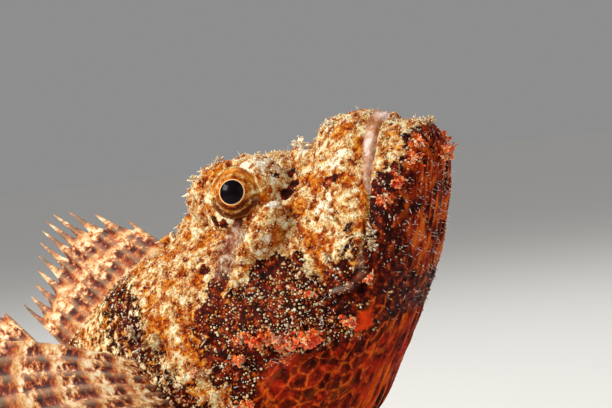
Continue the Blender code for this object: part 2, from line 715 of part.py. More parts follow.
def midline_fin(name, first, last, count, lengths, rake, ray, web, notch, above):
    """A fin on the back or the belly, in the straight fish's middle plane, its roots sunk in the body."""
    x = np.linspace(first, last, count)
    column = 1 if above else 3
    source = 0 if above else 2
    table = spline(STATIONS, np.linspace(0, TAIL_END, 400))
    order = np.argsort(table[:, source])
    z = np.interp(x, table[order, source], table[order, column])
    z += -FIN_SUNK if above else FIN_SUNK
    roots = np.stack([x, np.zeros(count), z], 1)
    lean = np.radians(spline(np.asarray(rake, float)[:, None], np.linspace(0, len(rake) - 1, count))[:, 0])
    rise = 1 if above else -1
    directions = np.stack([-np.sin(lean), np.zeros(count), rise * np.cos(lean)], 1)
    tall = spline(np.asarray(lengths, float)[:, None], np.linspace(0, len(lengths) - 1, count))[:, 0]
    tall += FIN_SUNK
    return fin_solid(name, *fan(roots, directions, tall, (-0.10, 0, 0), FIN_ROWS, ray, web, notch))


def caudal_fin():
    """The rounded tail fin, half spread."""
    count = 13
    spread = np.linspace(-1, 1, count)
    roots = np.stack([np.full(count, -255.0), np.zeros(count), -0.9 + spread * 12.0], 1)
    lean = np.radians(spread * 25)
    directions = np.stack([-np.cos(lean), np.zeros(count), np.sin(lean)], 1)
    lengths = 72 - 15 * spread**2
    return fin_solid("caudal_fin", *fan(roots, directions, lengths, (0, 0, 0), 6, 2.4, 1.2, 0.03))


def down_to_floor(roots, directions, lengths, sag):
    """Ray lengths cut short, so that no tip reaches more than a little below the floor."""
    deep = 0.6
    down = directions[:, 2] / np.linalg.norm(directions, axis=1) + sag
    most = np.where(down < -0.05, (roots[:, 2] + deep) / np.maximum(-down, 0.05), 1e3)
    return np.minimum(lengths, most)


def pectoral_fin(side):
    """A broad fan of seventeen rays, spread out from the side with its thick lower rays on the ground."""
    name = "pectoral_fin_left" if side > 0 else "pectoral_fin_right"
    count = 17
    share = np.linspace(0, 1, count)
    base = np.stack([-113 + 3 * share, np.full(count, 26.0), -3 - 39 * share], 1)
    base[:, 1] -= 5.0 * share**2
    roots = posed(base * np.array([1, side, 1]))
    outward = 0.42 + 0.55 * np.sin(math.pi * share) + 0.30 * share
    fanned = np.stack([-0.95 + 1.65 * share**1.3, side * outward, 0.52 - 1.45 * share], 1)
    lengths = 50 + 30 * np.sin(math.pi * (0.08 + 0.84 * share))
    droop = (0, side * 0.05, -0.16)
    lengths = down_to_floor(roots, fanned, lengths, droop[2])
    return fin_solid(name, *fan(roots, fanned, lengths, droop, 5, 2.6, 1.1, 0.035))


def pelvic_fin(side):
    """A short strong fin of one spine and five rays, set down like a foot."""
    name = "pelvic_fin_left" if side > 0 else "pelvic_fin_right"
    count = 6
    share = np.linspace(0, 1, count)
    base = np.stack([-97 - 12 * share, 8.5 - 2 * share, np.full(count, -52.0)], 1)
    roots = posed(base * np.array([1, side, 1]))
    directions = np.stack([0.05 - 0.95 * share, side * (0.62 - 0.06 * share), -1.0 + 0.22 * share], 1)
    lengths = down_to_floor(roots, directions, 60 + 4 * np.sin(math.pi * share), 0)
    return fin_solid(name, *fan(roots, directions, lengths, (-0.05, 0, 0), 6, 3.0, 1.5, 0.06))


# Assembly

def cover_tool(edge, side, wider):
    """The block that a gill cover fills behind its front edge, or that its recess in the head fills."""
    along = np.gradient(edge, axis=0)
    along /= np.linalg.norm(along, axis=1, keepdims=True)
    front = edge + np.stack([-along[:, 1], along[:, 0]], 1) * wider
    outline = [tuple(p) for p in front] + [(-160.0, front[-1][1]), (-160.0, front[0][1])]
    low, high = sorted((side * (COVER_INSIDE - wider), side * CLEAR_WIDTH))
    return prism("cover_tool", outline, low, high)


def body_nodes():
    """Head, lower jaw, gill covers, torso and tail stalk, cut from one body by thin walls."""
    body = body_skin()
    forms = skin_forms(body)
    boolean(body, both_sides(socket) + both_sides(opening), "DIFFERENCE")
    boolean(body, lips() + both_sides(lid) + both_sides(nostril), "UNION")
    boolean(body, forms, "UNION", "MANIFOLD")
    largest_piece(body)
    gill_slit = spline(GILL_SLIT, np.linspace(0, len(GILL_SLIT) - 1, 2 * len(GILL_SLIT) - 1))
    rear, head = halves(body, slit("gill_slit", gill_slit), ("torso", "head"))
    if min(v.co.x for v in head.data.vertices) < -150:
        rear, head = head, rear
        rear.name, head.name = "torso", "head"
    tail_wall = slit("tail_wall", [(-TAIL_CUT, 60), (-TAIL_CUT, -60)])
    torso, tail = halves(rear, tail_wall, ("torso", "tail"))
    head, jaw = halves(head, slit("gape", GAPE + JAW_REAR), ("head", "lower_jaw"))
    covers = []
    edge = spline(COVER_EDGE, np.linspace(0, len(COVER_EDGE) - 1, 2 * len(COVER_EDGE) - 1))
    for side, name in ((1, "gill_cover_left"), (-1, "gill_cover_right")):
        plate = copy_of(head, name)
        boolean(plate, [cover_tool(edge, side, 0.0)], "INTERSECT")
        covers.append(largest_piece(plate))
    boolean(head, [cover_tool(edge, side, GAP) for side in (1, -1)], "DIFFERENCE")
    boolean(head, both_sides(socket), "DIFFERENCE")
    return [largest_piece(head), jaw, torso, tail] + covers


def set_posed(made):
    """Carries an object's mesh from the straight fish to the bent one."""
    points = posed([v.co for v in made.data.vertices])
    for vert, point in zip(made.data.vertices, points):
        vert.co = point
    return made


def rooted(fin, bodies):
    """Trims a fin's sunk root so that it meets the body face to face, and its tips so that they rest flat."""
    floor = prism("floor", [(-500, -200), (200, -200), (200, 0), (-500, 0)], -300, 300)
    boolean(fin, [swollen(made, GAP) for made in bodies] + [floor], "DIFFERENCE")
    return largest_piece(fin)


def material(name, colour, roughness):
    """A plain surface of one colour."""
    made = bpy.data.materials.new(name)
    made.use_nodes = True
    surface = made.node_tree.nodes["Principled BSDF"]
    surface.inputs["Base Color"].default_value = (*colour, 1)
    surface.inputs["Roughness"].default_value = roughness
    return made


def finish(pieces):
    """Scales the pieces to metres, centres the fish over the origin and gives each its material."""
    corners = np.array([v.co for made in pieces for v in made.data.vertices])
    middle = (corners.max(0) + corners.min(0)) / 2
    shift = Matrix.Translation(Vector((-middle[0], -middle[1], -corners[:, 2].min())))
    for made in pieces:
        made.data.transform(Matrix.Scale(MM, 4) @ shift)
        made.data.materials.clear()
        colour = SKIN
        if "fin" in made.name:
            colour = FIN
        elif made.name == "lower_jaw":
            colour = THROAT
        elif "eye" in made.name:
            colour = IRIS
        made.data.materials.append(material(made.name + "_skin", colour, 0.15 if "eye" in made.name else 0.5))
        made.data.shade_smooth()
        made.data.set_sharp_from_angle(angle=math.radians(40))


def main():
    for made in list(bpy.data.objects):
        bpy.data.objects.remove(made)
    flesh = [set_posed(made) for made in body_nodes()]
    head, jaw, torso, tail = flesh[:4]
    eyes = [set_posed(eyeball(side)) for side in (1, -1)]
    covers = flesh[4:]
    midline = [midline_fin(*row) for row in MIDLINE_FINS] + [caudal_fin()]
    fins = [rooted(set_posed(made), [torso, tail]) for made in midline]
    for made in both_sides(pectoral_fin) + both_sides(pelvic_fin):
        fins.append(rooted(made, [torso, head, jaw] + covers))
    finish(flesh + eyes + fins)


main()
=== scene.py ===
"""Looks of a tasselled scorpionfish at life size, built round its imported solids.

The fish is shaped straight, in millimetres, with its upper lip at x = 0, its nose along +X, its back along
+Z and its left side along +Y. Each piece is then carried to the raised stance and scaled to metres.
"""

import math

import bpy
import numpy as np
from mathutils import Matrix, Vector, noise
from mathutils.bvhtree import BVHTree


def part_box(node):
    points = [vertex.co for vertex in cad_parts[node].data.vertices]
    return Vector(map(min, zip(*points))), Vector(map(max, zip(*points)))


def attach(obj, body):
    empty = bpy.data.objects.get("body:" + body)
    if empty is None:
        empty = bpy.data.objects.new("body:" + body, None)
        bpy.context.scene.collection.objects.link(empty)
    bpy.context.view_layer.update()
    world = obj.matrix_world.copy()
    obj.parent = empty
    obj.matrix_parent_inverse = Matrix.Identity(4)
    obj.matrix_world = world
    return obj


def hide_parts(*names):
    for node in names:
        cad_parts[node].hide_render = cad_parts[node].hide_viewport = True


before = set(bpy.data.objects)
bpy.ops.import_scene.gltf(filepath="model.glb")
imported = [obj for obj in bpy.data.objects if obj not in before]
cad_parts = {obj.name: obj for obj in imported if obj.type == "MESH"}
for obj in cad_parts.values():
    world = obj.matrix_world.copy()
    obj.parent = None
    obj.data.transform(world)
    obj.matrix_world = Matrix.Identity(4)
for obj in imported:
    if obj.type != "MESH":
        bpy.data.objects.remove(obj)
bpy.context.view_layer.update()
bpy.ops.object.select_all(action="DESELECT")

MM = 0.001

# From the upper lip to the root of the tail fin
STANDARD_LENGTH = 262.0

# The stance: how far the nose and the tail are raised and where the back bends between them, how far the tail
# is turned aside and where, and how high its root is held
HEAD_PITCH = math.radians(44)
TAIL_PITCH = math.radians(6)
BEND_FROM, BEND_TO = 72.0, 226.0
TAIL_YAW = math.radians(13)
YAW_FROM, YAW_TO = 130.0, STANDARD_LENGTH
TAIL_HEIGHT = 33.0

# The backbone is worked out in steps, from ahead of the lip to past the end of the tail fin
BACKBONE_FROM, BACKBONE_TO, BACKBONE_STEP = -30.0, 400.0, 0.5

# Eye, on the left side: its middle, the way it looks, and the opening of its lids
EYE = Vector((-50.0, 17.2, 19.2))
EYE_AIM = Vector((0.22, 0.95, -0.05)).normalized()
EYE_RADIUS, IRIS_RADIUS, PUPIL_RADIUS = 9.9, 6.3, 4.05
LID_RADIUS = 9.6

# Roll of the lids: half its thickness, how far outside the opening, and how far towards the eye's middle
LID_ROLL, LID_MARGIN, LID_SUNK = 1.35, 0.9, 0.4

# How far the skin under an eyeball lies below its surface
SKIN_UNDER_EYE = 2.2

# Front nostril, on the left side: its middle, the way it opens, its radius and half the thickness of its rim
NOSTRIL, NOSTRIL_AIM = (-27.5, 8.6, 15.2), (0.25, 0.45, 0.86)
NOSTRIL_RADIUS, NOSTRIL_ROLL = 1.9, 0.85

# Line of the mouth, seen from the side: its front, its corner and its slope
MOUTH_FRONT = np.array([0.6, -1.5])
MOUTH_CORNER = np.array([-41.5, -38.6])
MOUTH_SLOPE = math.radians(42.3)

# The cleft of the closed mouth
MOUTH_DEPTH, MOUTH_WIDTH = 1.5, 0.55

# Rolls of the lips: how far each lies over the line of the mouth, and half its thickness at the front
LIPS = (("upper_lip", 1.45, 1.9), ("lower_lip", -1.25, 1.6))

# Thickness of a lip by the share of the way from the front to its end, and the station where it ends
LIP_THINNING = ((0.0, 0.30, 0.50, 0.66, 1.0), (1.0, 0.95, 0.66, 0.34, 0.2))
LIP_TIP, LIP_END = (1.24, 0, -1.2), 6.2

# Section stations from the mouth's tip to the tail fin: x and z of the back, x and z of the belly,
# x, y and z of the side, then the fullness of the section above and below the side
STATIONS = (
    (0.6, -1.4, 0.6, -1.4, 0.6, 0.0, -1.4, 2.0, 2.0),
    (0.6, 1.4, 2.2, -4.4, -1.2, 6.0, -2.4, 2.1, 2.3),
    (-2.0, 5.6, 5.4, -8.4, -3.8, 10.8, -4.7, 2.1, 2.4),
    (-6.5, 10.0, 7.8, -14.8, -8.6, 15.4, -9.2, 2.1, 2.4),
    (-12.5, 13.0, 5.6, -21.6, -14.8, 19.4, -14.6, 2.0, 2.4),
    (-20.0, 14.0, -2.0, -28.0, -22.4, 22.8, -21.4, 1.9, 2.35),
    (-28.5, 14.6, -13.2, -34.8, -31.6, 25.6, -29.8, 1.8, 2.3),
    (-38.0, 17.4, -27.8, -43.0, -42.0, 28.0, -36.0, 1.75, 2.2),
    (-50.0, 21.4, -44.6, -49.8, -54.0, 30.8, -33.0, 1.7, 2.2),
    (-65.0, 25.6, -61.8, -55.6, -69.0, 33.6, -25.0, 1.8, 2.1),
    (-83.0, 33.0, -81.0, -60.6, -87.0, 35.4, -17.0, 1.9, 2.1),
    (-103.0, 37.4, -104.0, -59.0, -107.0, 34.4, -12.0, 2.0, 2.1),
    (-129.0, 38.0, -131.0, -53.0, -131.0, 29.8, -9.0, 2.0, 2.1),
    (-158.0, 32.2, -159.0, -43.0, -158.0, 22.0, -6.0, 2.0, 2.0),
    (-190.0, 22.6, -190.0, -29.0, -190.0, 13.6, -3.4, 2.0, 2.0),
    (-222.0, 15.2, -222.0, -18.0, -222.0, 7.8, -1.6, 2.0, 2.0),
    (-248.0, 12.6, -248.0, -14.6, -248.0, 4.8, -1.0, 2.0, 2.0),
    (-262.0, 13.6, -262.0, -15.4, -262.0, 3.0, -0.8, 2.2, 2.2),
)
TAIL_END = len(STATIONS) - 1

# Swellings of the skin on the left side: centre, half sizes, tilt in degrees about Y.
# In turn: orbit, brow, snout, front nostril, upper jaw bone and its rear lobe, ridge below the eye,
# cheek, gill cover and its lower edge, chin, temple
SWELLINGS = (
    ((-51.0, 12.4, 18.0), (16.0, 12.4, 13.4), 0),
    ((-56.5, 13.0, 27.6), (13.5, 6.8, 8.6), 10),
    ((-16.6, 0.0, 7.6), (8.8, 10.0, 7.8), 10),
    ((-29.0, 7.6, 11.0), (4.2, 3.6, 5.2), 0),
    ((-36.0, 22.5, -25.6), (12.5, 7.4, 7.4), 42),
    ((-44.5, 24.0, -31.5), (6.6, 6.6, 8.6), 30),
    ((-58.0, 23.0, 0.5), (19.0, 8.6, 5.6), -14),
    ((-63.0, 21.0, -26.0), (19.0, 15.0, 16.5), -20),
    ((-99.0, 22.0, -12.0), (22.0, 15.4, 23.0), 0),
    ((-113.0, 21.5, -24.0), (9.5, 13.0, 20.0), 0),
    ((1.6, 0.0, -14.5), (6.8, 10.5, 8.0), 0),
    ((-75.0, 9.0, 25.0), (13.0, 5.6, 7.4), -14),
)

# Hollows of the skin on the left side: centre, reach, depth
HOLLOWS = (
    ((-34.0, 14.5, 8.5), (5.6, 6.0, 5.0), 2.4),
    ((-67.0, 0.0, 29.0), (7.5, 9.0, 8.0), 4.0),
    ((-56.0, 27.0, -38.0), (6.0, 9.0, 5.0), 2.0),
)

# The skin's mesh: how fine it is while it grows together, how often it is smoothed before and after its rolls
# are added, and its triangles in the end
SKIN_STEP = 0.66
SWELLING_SMOOTHING, ROLL_SMOOTHING = 24, 3
SKIN_TRIANGLES = 190_000

# The solids that the skin stands for
SKIN_STANDS_FOR = ("head", "lower_jaw", "gill_cover_left", "gill_cover_right", "torso", "tail")

# Shares of thinning, and where along the fish each begins and ends
THINNING = ((0.1, -99, 100), (0.6, 100, 130), (1.0, 130, 999))

# Edge of the gill opening and of the cheek bone in front of it, seen from the side
GILL_EDGE = ((-101.0, 19.0), (-119.0, 0.0), (-120.0, -14.0), (-110.0, -34.0), (-97.0, -48.0),
             (-84.0, -56.0))
CHEEK_EDGE = ((-93.0, 13.0), (-87.5, 6.0), (-88.5, -4.0), (-86.5, -14.0), (-81.5, -25.0), (-71.0, -33.0),
              (-60.0, -39.5), (-51.0, -43.0))

# Rear edge of the upper jaw bone, seen from the side
JAW_BONE_EDGE = ((-46.5, -5.0), (-50.0, -12.5), (-51.5, -20.0), (-50.6, -26.8), (-46.5, -32.0),
                 (-42.0, -35.0), (-37.0, -35.2), (-33.0, -32.0))

# Edges and bones show where the skin lies farther than this from the middle of the fish
SIDE_FROM = 6

# The groove behind each edge: its depth, and how far back it takes to come up again
GROOVES = ((GILL_EDGE, 1.9, 9.0), (CHEEK_EDGE, 1.1, 5.0), (JAW_BONE_EDGE, 2.6, 3.6))

# Scales of the trunk: length, width, height and the radius they are laid out on
SCALE_LENGTH, SCALE_WIDTH, SCALE_HEIGHT, SCALE_ROUND = 4.8, 4.2, 0.42, 30.0

# Folds of the throat: how far apart they are, and the finer ones, their height and how far they wander
FOLD, FINE_FOLD, FOLD_HEIGHT, FOLD_WANDER = 3.9, 1.9, 0.45, 1.6

# Head spines on the left side: place near the skin, the way they point, length, root radius
SPINES = (
    ((-24.0, 5.6, 13.6), (-0.5, 0.2, 0.8), 2.4, 1.0),
    ((-43.0, 14.6, 27.4), (-0.4, 0.4, 0.8), 3.2, 1.1),
    ((-53.0, 13.6, 35.0), (-0.8, 0.3, 0.6), 3.6, 1.2),
    ((-59.0, 17.0, 31.0), (-0.84, 0.1, 0.56), 6.8, 3.5),
    ((-75.0, 9.6, 31.0), (-0.9, 0.1, 0.5), 4.8, 1.5),
    ((-85.0, 8.6, 33.4), (-0.9, 0.1, 0.5), 4.8, 1.5),
    ((-49.0, 29.0, 2.6), (-0.9, 0.4, 0.1), 2.6, 1.0),
    ((-60.0, 31.0, 0.0), (-0.9, 0.4, 0.1), 2.8, 1.1),
    ((-71.0, 31.5, -3.0), (-0.9, 0.3, 0.0), 3.4, 1.2),
    ((-86.0, 34.0, -8.0), (-0.95, 0.3, -0.1), 5.6, 1.6),
    ((-84.0, 34.0, -17.0), (-0.9, 0.3, -0.3), 4.0, 1.3),
    ((-105.0, 35.0, 6.0), (-0.95, 0.3, 0.2), 6.5, 1.7),
    ((-105.0, 36.0, -6.0), (-0.95, 0.3, -0.1), 6.0, 1.7),
    ((-31.0, 24.4, -13.0), (0.2, 0.6, -0.75), 2.4, 1.1),
)

# Skin tassels on the left side: place near the skin, how much they hang, length, width, redness.
# In turn: chin and lower jaw, cheek's lower edge, upper jaw, brow and nostril, gill cover, flank
TASSELS = (
    ((8.5, 4.0, -12.0), -0.2, 2.4, 1.6, 0.0), ((5.0, 3.0, -24.0), 0.1, 4.6, 4.0, 1.0),
    ((3.5, 11.5, -17.0), 0.2, 3.2, 3.4, 0.95), ((-0.5, 15.0, -20.0), 0.2, 3.2, 3.8, 0.75),
    ((-8.5, 19.4, -21.8), 0.3, 3.4, 3.6, 0.9), ((-14.5, 22.0, -22.8), 0.3, 3.6, 4.2, 0.85),
    ((-24.5, 24.0, -27.0), 0.4, 2.6, 2.4, 0.15), ((-28.5, 26.0, -30.0), 0.4, 2.6, 2.2, 0.1),
    ((-36.1, 26.5, -35.8), 0.5, 3.0, 2.6, 0.6),
    ((-73.6, 34.0, -22.0), 0.9, 7.0, 6.6, 0.95), ((-67.8, 35.0, -29.4), 0.9, 7.0, 6.4, 1.0),
    ((-61.0, 34.0, -33.4), 0.9, 7.4, 7.2, 1.0), ((-78.5, 34.0, -16.0), 0.9, 5.0, 4.6, 0.6),
    ((-50.0, 28.0, -39.6), 0.9, 4.4, 4.6, 0.75), ((-84.0, 35.0, -20.0), 0.9, 4.6, 4.0, 0.7),
    ((-51.0, 32.0, -25.0), 0.5, 3.4, 3.0, 0.8), ((-40.0, 30.0, -21.0), 0.4, 2.4, 1.8, 0.0),
    ((-47.0, 15.0, 33.0), -0.2, 2.4, 1.2, 0.0), ((-59.0, 14.0, 37.0), -0.2, 2.8, 1.4, 0.0),
    ((-25.6, 9.6, 15.0), -0.3, 4.4, 2.2, 0.0), ((-14.0, 8.0, 13.0), -0.2, 2.0, 1.2, 0.0),
    ((-97.0, 37.0, -14.0), 0.5, 4.0, 3.6, 0.4), ((-94.0, 34.0, -32.0), 0.7, 4.4, 3.8, 0.6),
    ((-112.0, 33.0, 16.0), 0.3, 4.0, 3.4, 0.2), ((-134.0, 28.0, 12.0), 0.3, 4.0, 3.2, 0.2),
    ((-155.0, 22.0, 8.0), 0.3, 3.8, 3.0, 0.2), ((-178.0, 16.0, 5.0), 0.3, 3.6, 2.6, 0.2),
    ((-202.0, 11.0, 3.0), 0.3, 3.2, 2.4, 0.1), ((-226.0, 7.0, 1.0), 0.3, 2.8, 2.2, 0.1),
)

# The way that tassels hang on the raised head, as it is on the straight fish
HANG = np.array([-0.77, 0.0, -0.64])

# Markings on the left side: centre and reach of each patch.
# Dark cheek strewn with white granules, dark patches without them, white patches, bare smooth skin, brown
# skin of the jaw bone, warmer and cooler skin, the flush behind the mouth's corner, tip of the lower jaw
CHEEK_PATCHES = (
    ((-60.0, 30.0, -10.5), (9.0, 20.0, 6.5)), ((-66.0, 34.0, -19.0), (14.0, 20.0, 13.0)),
    ((-56.0, 33.0, -27.0), (9.0, 20.0, 11.0)), ((-74.0, 32.0, -13.0), (9.0, 20.0, 9.0)),
    ((-86.0, 34.0, -17.0), (10.0, 20.0, 10.0)), ((-66.0, 33.0, -30.0), (13.0, 12.0, 8.0)),
    ((-44.5, 30.0, -28.5), (6.0, 8.0, 4.6)), ((-52.0, 27.0, -14.0), (5.0, 10.0, 4.0)),
    ((-49.5, 29.0, -35.5), (5.0, 8.0, 4.0)), ((-82.0, 32.0, -4.0), (8.0, 20.0, 6.0)),
    ((-74.0, 29.0, 2.0), (5.0, 9.0, 3.4)),
)
DARK_PATCHES = (
    ((-39.0, 14.0, 6.8), (2.6, 4.0, 2.0)), ((-36.4, 12.0, 7.6), (2.6, 4.0, 1.5)),
    ((-34.2, 9.0, 11.8), (1.7, 2.4, 1.5)), ((-37.2, 15.5, 13.4), (1.4, 2.4, 1.0)),
    ((-25.0, 19.0, -3.4), (2.2, 4.0, 1.7)), ((-22.0, 19.0, -4.6), (1.5, 4.0, 1.1)),
    ((-45.0, 27.0, -42.0), (9.0, 10.0, 6.0)), ((-38.0, 28.0, -36.0), (6.0, 8.0, 4.0)),
    ((-71.0, 24.0, 17.0), (2.0, 5.0, 1.6)), ((-75.0, 26.0, 10.0), (2.0, 6.0, 2.2)),
    ((-61.8, 21.5, 19.0), (1.7, 3.0, 2.4)), ((-60.0, 22.6, 15.2), (2.4, 3.0, 1.8)),
    ((-56.6, 23.0, 11.8), (3.0, 3.0, 1.5)), ((-51.5, 24.0, 9.6), (2.6, 3.0, 0.9)),
)
WHITE_PATCHES = (
    ((-40.4, 20.0, 22.8), (1.6, 3.0, 1.7)), ((-41.5, 23.0, 5.4), (2.6, 4.0, 2.0)),
    ((-25.2, 9.8, 13.0), (1.7, 2.4, 1.7)), ((-51.0, 24.0, 8.2), (3.4, 4.0, 0.5)),
    ((-27.5, 20.5, -7.0), (1.0, 4.0, 1.3)),
)
SMOOTH_PATCHES = (((-63.0, 22.0, 9.6), (6.5, 9.0, 3.8)), ((-67.0, 26.0, 5.4), (5.0, 9.0, 4.4)),
                  ((-57.0, 26.0, 6.0), (5.0, 6.0, 2.4)))
BROWN_PATCHES = (((-34.0, 28.0, -27.0), (4.0, 6.0, 4.6)), ((-29.5, 25.5, -21.0), (2.2, 6.0, 4.0)),
                 ((-39.5, 28.0, -30.5), (4.0, 6.0, 2.4)))
WARM_PATCHES = (
    ((-4.1, 3.2, 7.4), (2.2, 3.0, 2.4)), ((-12.0, 12.0, 5.6), (2.8, 3.0, 2.4)),
    ((-37.0, 18.5, -0.6), (4.0, 5.0, 3.0)), ((-47.5, 28.0, -0.6), (3.4, 5.0, 2.2)),
    ((-20.0, 19.0, -9.0), (3.0, 5.0, 3.0)), ((-41.0, 25.0, -16.0), (3.4, 6.0, 3.0)),
    ((-30.0, 15.0, 3.0), (2.4, 4.0, 2.4)), ((-9.0, 16.0, -4.0), (2.6, 4.0, 2.6)),
    ((-49.0, 17.0, 31.0), (6.0, 5.0, 2.0)), ((-86.0, 33.0, -8.0), (10.0, 20.0, 9.0)),
    ((-77.0, 34.0, -18.0), (8.0, 20.0, 6.0)),
)
COOL_PATCHES = (
    ((-40.0, 14.0, 19.0), (9.0, 11.0, 7.0)), ((-31.0, 21.0, -9.0), (6.0, 8.0, 4.4)),
    ((-17.5, 17.0, 0.0), (5.0, 5.0, 4.0)), ((-13.0, 6.0, 11.0), (4.0, 4.0, 2.6)),
    ((-54.0, 28.0, -1.0), (6.0, 6.0, 3.0)),
)
FLUSHED_PATCHES = (((-49.0, 25.0, -43.5), (5.0, 7.0, 3.2)), ((-43.0, 24.0, -43.5), (3.6, 6.0, 2.2)))
JAW_TIP_PATCHES = (((5.5, 0.0, -9.0), (4.0, 11.0, 4.6)),)

# Where granules crowd on the cheek, and where threads stand on the brow and hang along the cheek
CROWDED_PATCHES = (((-62.0, 35.0, -27.0), (11.0, 12.0, 8.0)), ((-74.0, 33.0, -10.0), (9.0, 12.0, 7.0)))
BROW_PATCHES = (((-56.0, 15.0, 35.0), (17.0, 9.0, 6.0)),)
FRINGE_PATCHES = (((-64.0, 33.0, -31.0), (15.0, 9.0, 4.0)),)

# The foot of the cheek, where the throat's net begins: places along the fish, and heights there
CHEEK_FOOT = ((-130, -110, -95, -84, -78, -72, -64, -57, -49, 20),
              (-46, -42, -33, -28, -26, -32, -39, -42, -46, -60))

# Width of the bare upper lip, by the share of the way along the mouth
BARE_LIP = ((0.0, 0.20, 0.29, 0.38, 0.47), (5.0, 3.9, 3.1, 1.7, 0.0))

# Length of a saddle of colour on the back with the dark gap after it, and where along the fish they start
SADDLE, SADDLE_FROM = 52, -150


# Shapes of the straight fish and its stance

def ramp(value, start, end):
    """A smooth step: 0 up to the start, 1 from the end on. The end may be the lower of the two."""
    share = np.clip((value - start) / (end - start), 0.0, 1.0)
    return share * share * (3 - 2 * share)


def spline(rows, place):
    """Catmull-Rom value of every column of rows at the given places, counted in rows."""
    rows = np.asarray(rows, float)
    place = np.clip(np.asarray(place, float), 0, len(rows) - 1)
    start = np.minimum(place.astype(int), len(rows) - 2)
    part = (place - start)[..., None]
    before, here = rows[np.maximum(start - 1, 0)], rows[start]
    there, after = rows[start + 1], rows[np.minimum(start + 2, len(rows) - 1)]
    bend = 2 * before - 5 * here + 4 * there - after
    turn = 3 * here - before - 3 * there + after
    return 0.5 * (2 * here + (there - before) * part + bend * part**2 + turn * part**3)


def backbone():
    """Places, up and left directions of the posed backbone, every half millimetre."""
    along = np.arange(BACKBONE_FROM, BACKBONE_TO, BACKBONE_STEP)
    pitch = HEAD_PITCH + (TAIL_PITCH - HEAD_PITCH) * ramp(along, BEND_FROM, BEND_TO)
    yaw = -TAIL_YAW * ramp(along, YAW_FROM, YAW_TO)
    forward = np.stack([np.cos(pitch) * np.cos(yaw), np.cos(pitch) * np.sin(yaw), np.sin(pitch)], 1)
    up = np.stack([-np.sin(pitch) * np.cos(yaw), -np.sin(pitch) * np.sin(yaw), np.cos(pitch)], 1)
    left = np.stack([-np.sin(yaw), np.cos(yaw), np.zeros_like(yaw)], 1)
    place = np.cumsum(-forward * BACKBONE_STEP, axis=0)
    tail = np.searchsorted(along, STANDARD_LENGTH)
    place[:, 2] += TAIL_HEIGHT - place[tail, 2]
    return along, place, up, left


BACKBONE = backbone()


def posed(points):
    """Points of the straight fish, carried to where they lie on the bent fish."""
    points = np.asarray(points, float).reshape(-1, 3)
    along, place, up, left = BACKBONE

    def at(table):
        return np.stack([np.interp(-points[:, 0], along, table[:, k]) for k in range(3)], 1)

    return at(place) + at(up) * points[:, 2:3] + at(left) * points[:, 1:2]


def mirrored(point, side):
    """A point of the left side, or its mirror image on the right."""
    return np.array([point[0], point[1] * side, point[2]], float)


EYE_BOX = [np.array(corner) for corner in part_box("eye_right")]
SHIFT = (EYE_BOX[0] + EYE_BOX[1]) / 2 - posed(mirrored(EYE, -1))[0] * MM


def in_metres(points):
    """Posed points in millimetres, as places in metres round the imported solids, none below the floor."""
    placed = np.asarray(points, float).reshape(-1, 3) * MM + SHIFT
    placed[:, 2] = np.maximum(placed[:, 2], 0.0)
    return placed


# Meshes

def coordinates(piece):
    """The points of a piece's mesh."""
    points = np.empty(len(piece.data.vertices) * 3)
    piece.data.vertices.foreach_get("co", points)
    return points.reshape(-1, 3)


def set_coordinates(piece, points):
    """Moves the points of a piece's mesh."""
    piece.data.vertices.foreach_set("co", np.asarray(points, float).ravel())
    piece.data.update()


def normals_of(piece):
    """The way each point of a piece's mesh faces."""
    found = np.empty(len(piece.data.vertices) * 3)
    piece.data.vertex_normals.foreach_get("vector", found)
    return found.reshape(-1, 3)


def store(piece, name, values):
    """Keeps a number or a vector on each point of a mesh for its material."""
    values = np.asarray(values, float)
    kind, key = ("FLOAT", "value") if values.ndim == 1 else ("FLOAT_VECTOR", "vector")
    made = piece.data.attributes.new(name, kind, "POINT")
    made.data.foreach_set(key, values.astype(np.float32).ravel())


def tube(rows, columns):
    """Faces of a closed tube: rings of points, and one more point at each end."""
    faces = []
    for row in range(rows - 1):
        for column in range(columns):
            here, there = row * columns + column, row * columns + (column + 1) % columns
            faces.append((here, there, there + columns, here + columns))
    last = (rows - 1) * columns
    for column in range(columns):
        following = (column + 1) % columns
        faces.append((rows * columns, following, column))
        faces.append((rows * columns + 1, last + column, last + following))
    return faces


def two_sided(rows, columns):
    """Faces of a closed sheet: a grid of points, the grid again for its back, and the rim between them."""
    back, faces = rows * columns, []
    for row in range(rows - 1):
        for column in range(columns - 1):
            here, beyond = row * columns + column, (row + 1) * columns + column
            faces.append((here, here + 1, beyond + 1, beyond))
            faces.append((back + here, back + beyond, back + beyond + 1, back + here + 1))
    rim = list(range(columns))
    rim += [row * columns + columns - 1 for row in range(1, rows)]
    rim += [back - 1 - column for column in range(1, columns)]
    rim += [row * columns for row in range(rows - 2, 0, -1)]
    return faces + [(here, back + here, back + there, there) for here, there in zip(rim, rim[1:] + rim[:1])]


def mesh_piece(name, points, faces):
    """An object with these points and faces."""
    mesh = bpy.data.meshes.new(name)
    mesh.from_pydata(np.asarray(points, float), [], faces)
    mesh.validate()
    made = bpy.data.objects.new(name, mesh)
    bpy.context.scene.collection.objects.link(made)
    return made


def only(piece):
    """Selects one piece alone."""
    bpy.ops.object.select_all(action="DESELECT")
    piece.select_set(True)
    bpy.context.view_layer.objects.active = piece


def face_out(piece):
    """Turns all faces of a closed mesh outwards."""
    only(piece)
    bpy.ops.object.mode_set(mode="EDIT")
    bpy.ops.mesh.select_all(action="SELECT")
    bpy.ops.mesh.normals_make_consistent(inside=False)
    bpy.ops.object.mode_set(mode="OBJECT")


def joined(pieces, name):
    """Joins pieces to one."""
    only(pieces[0])
    for piece in pieces:
        piece.select_set(True)
    bpy.ops.object.join()
    pieces[0].name = name
    return pieces[0]


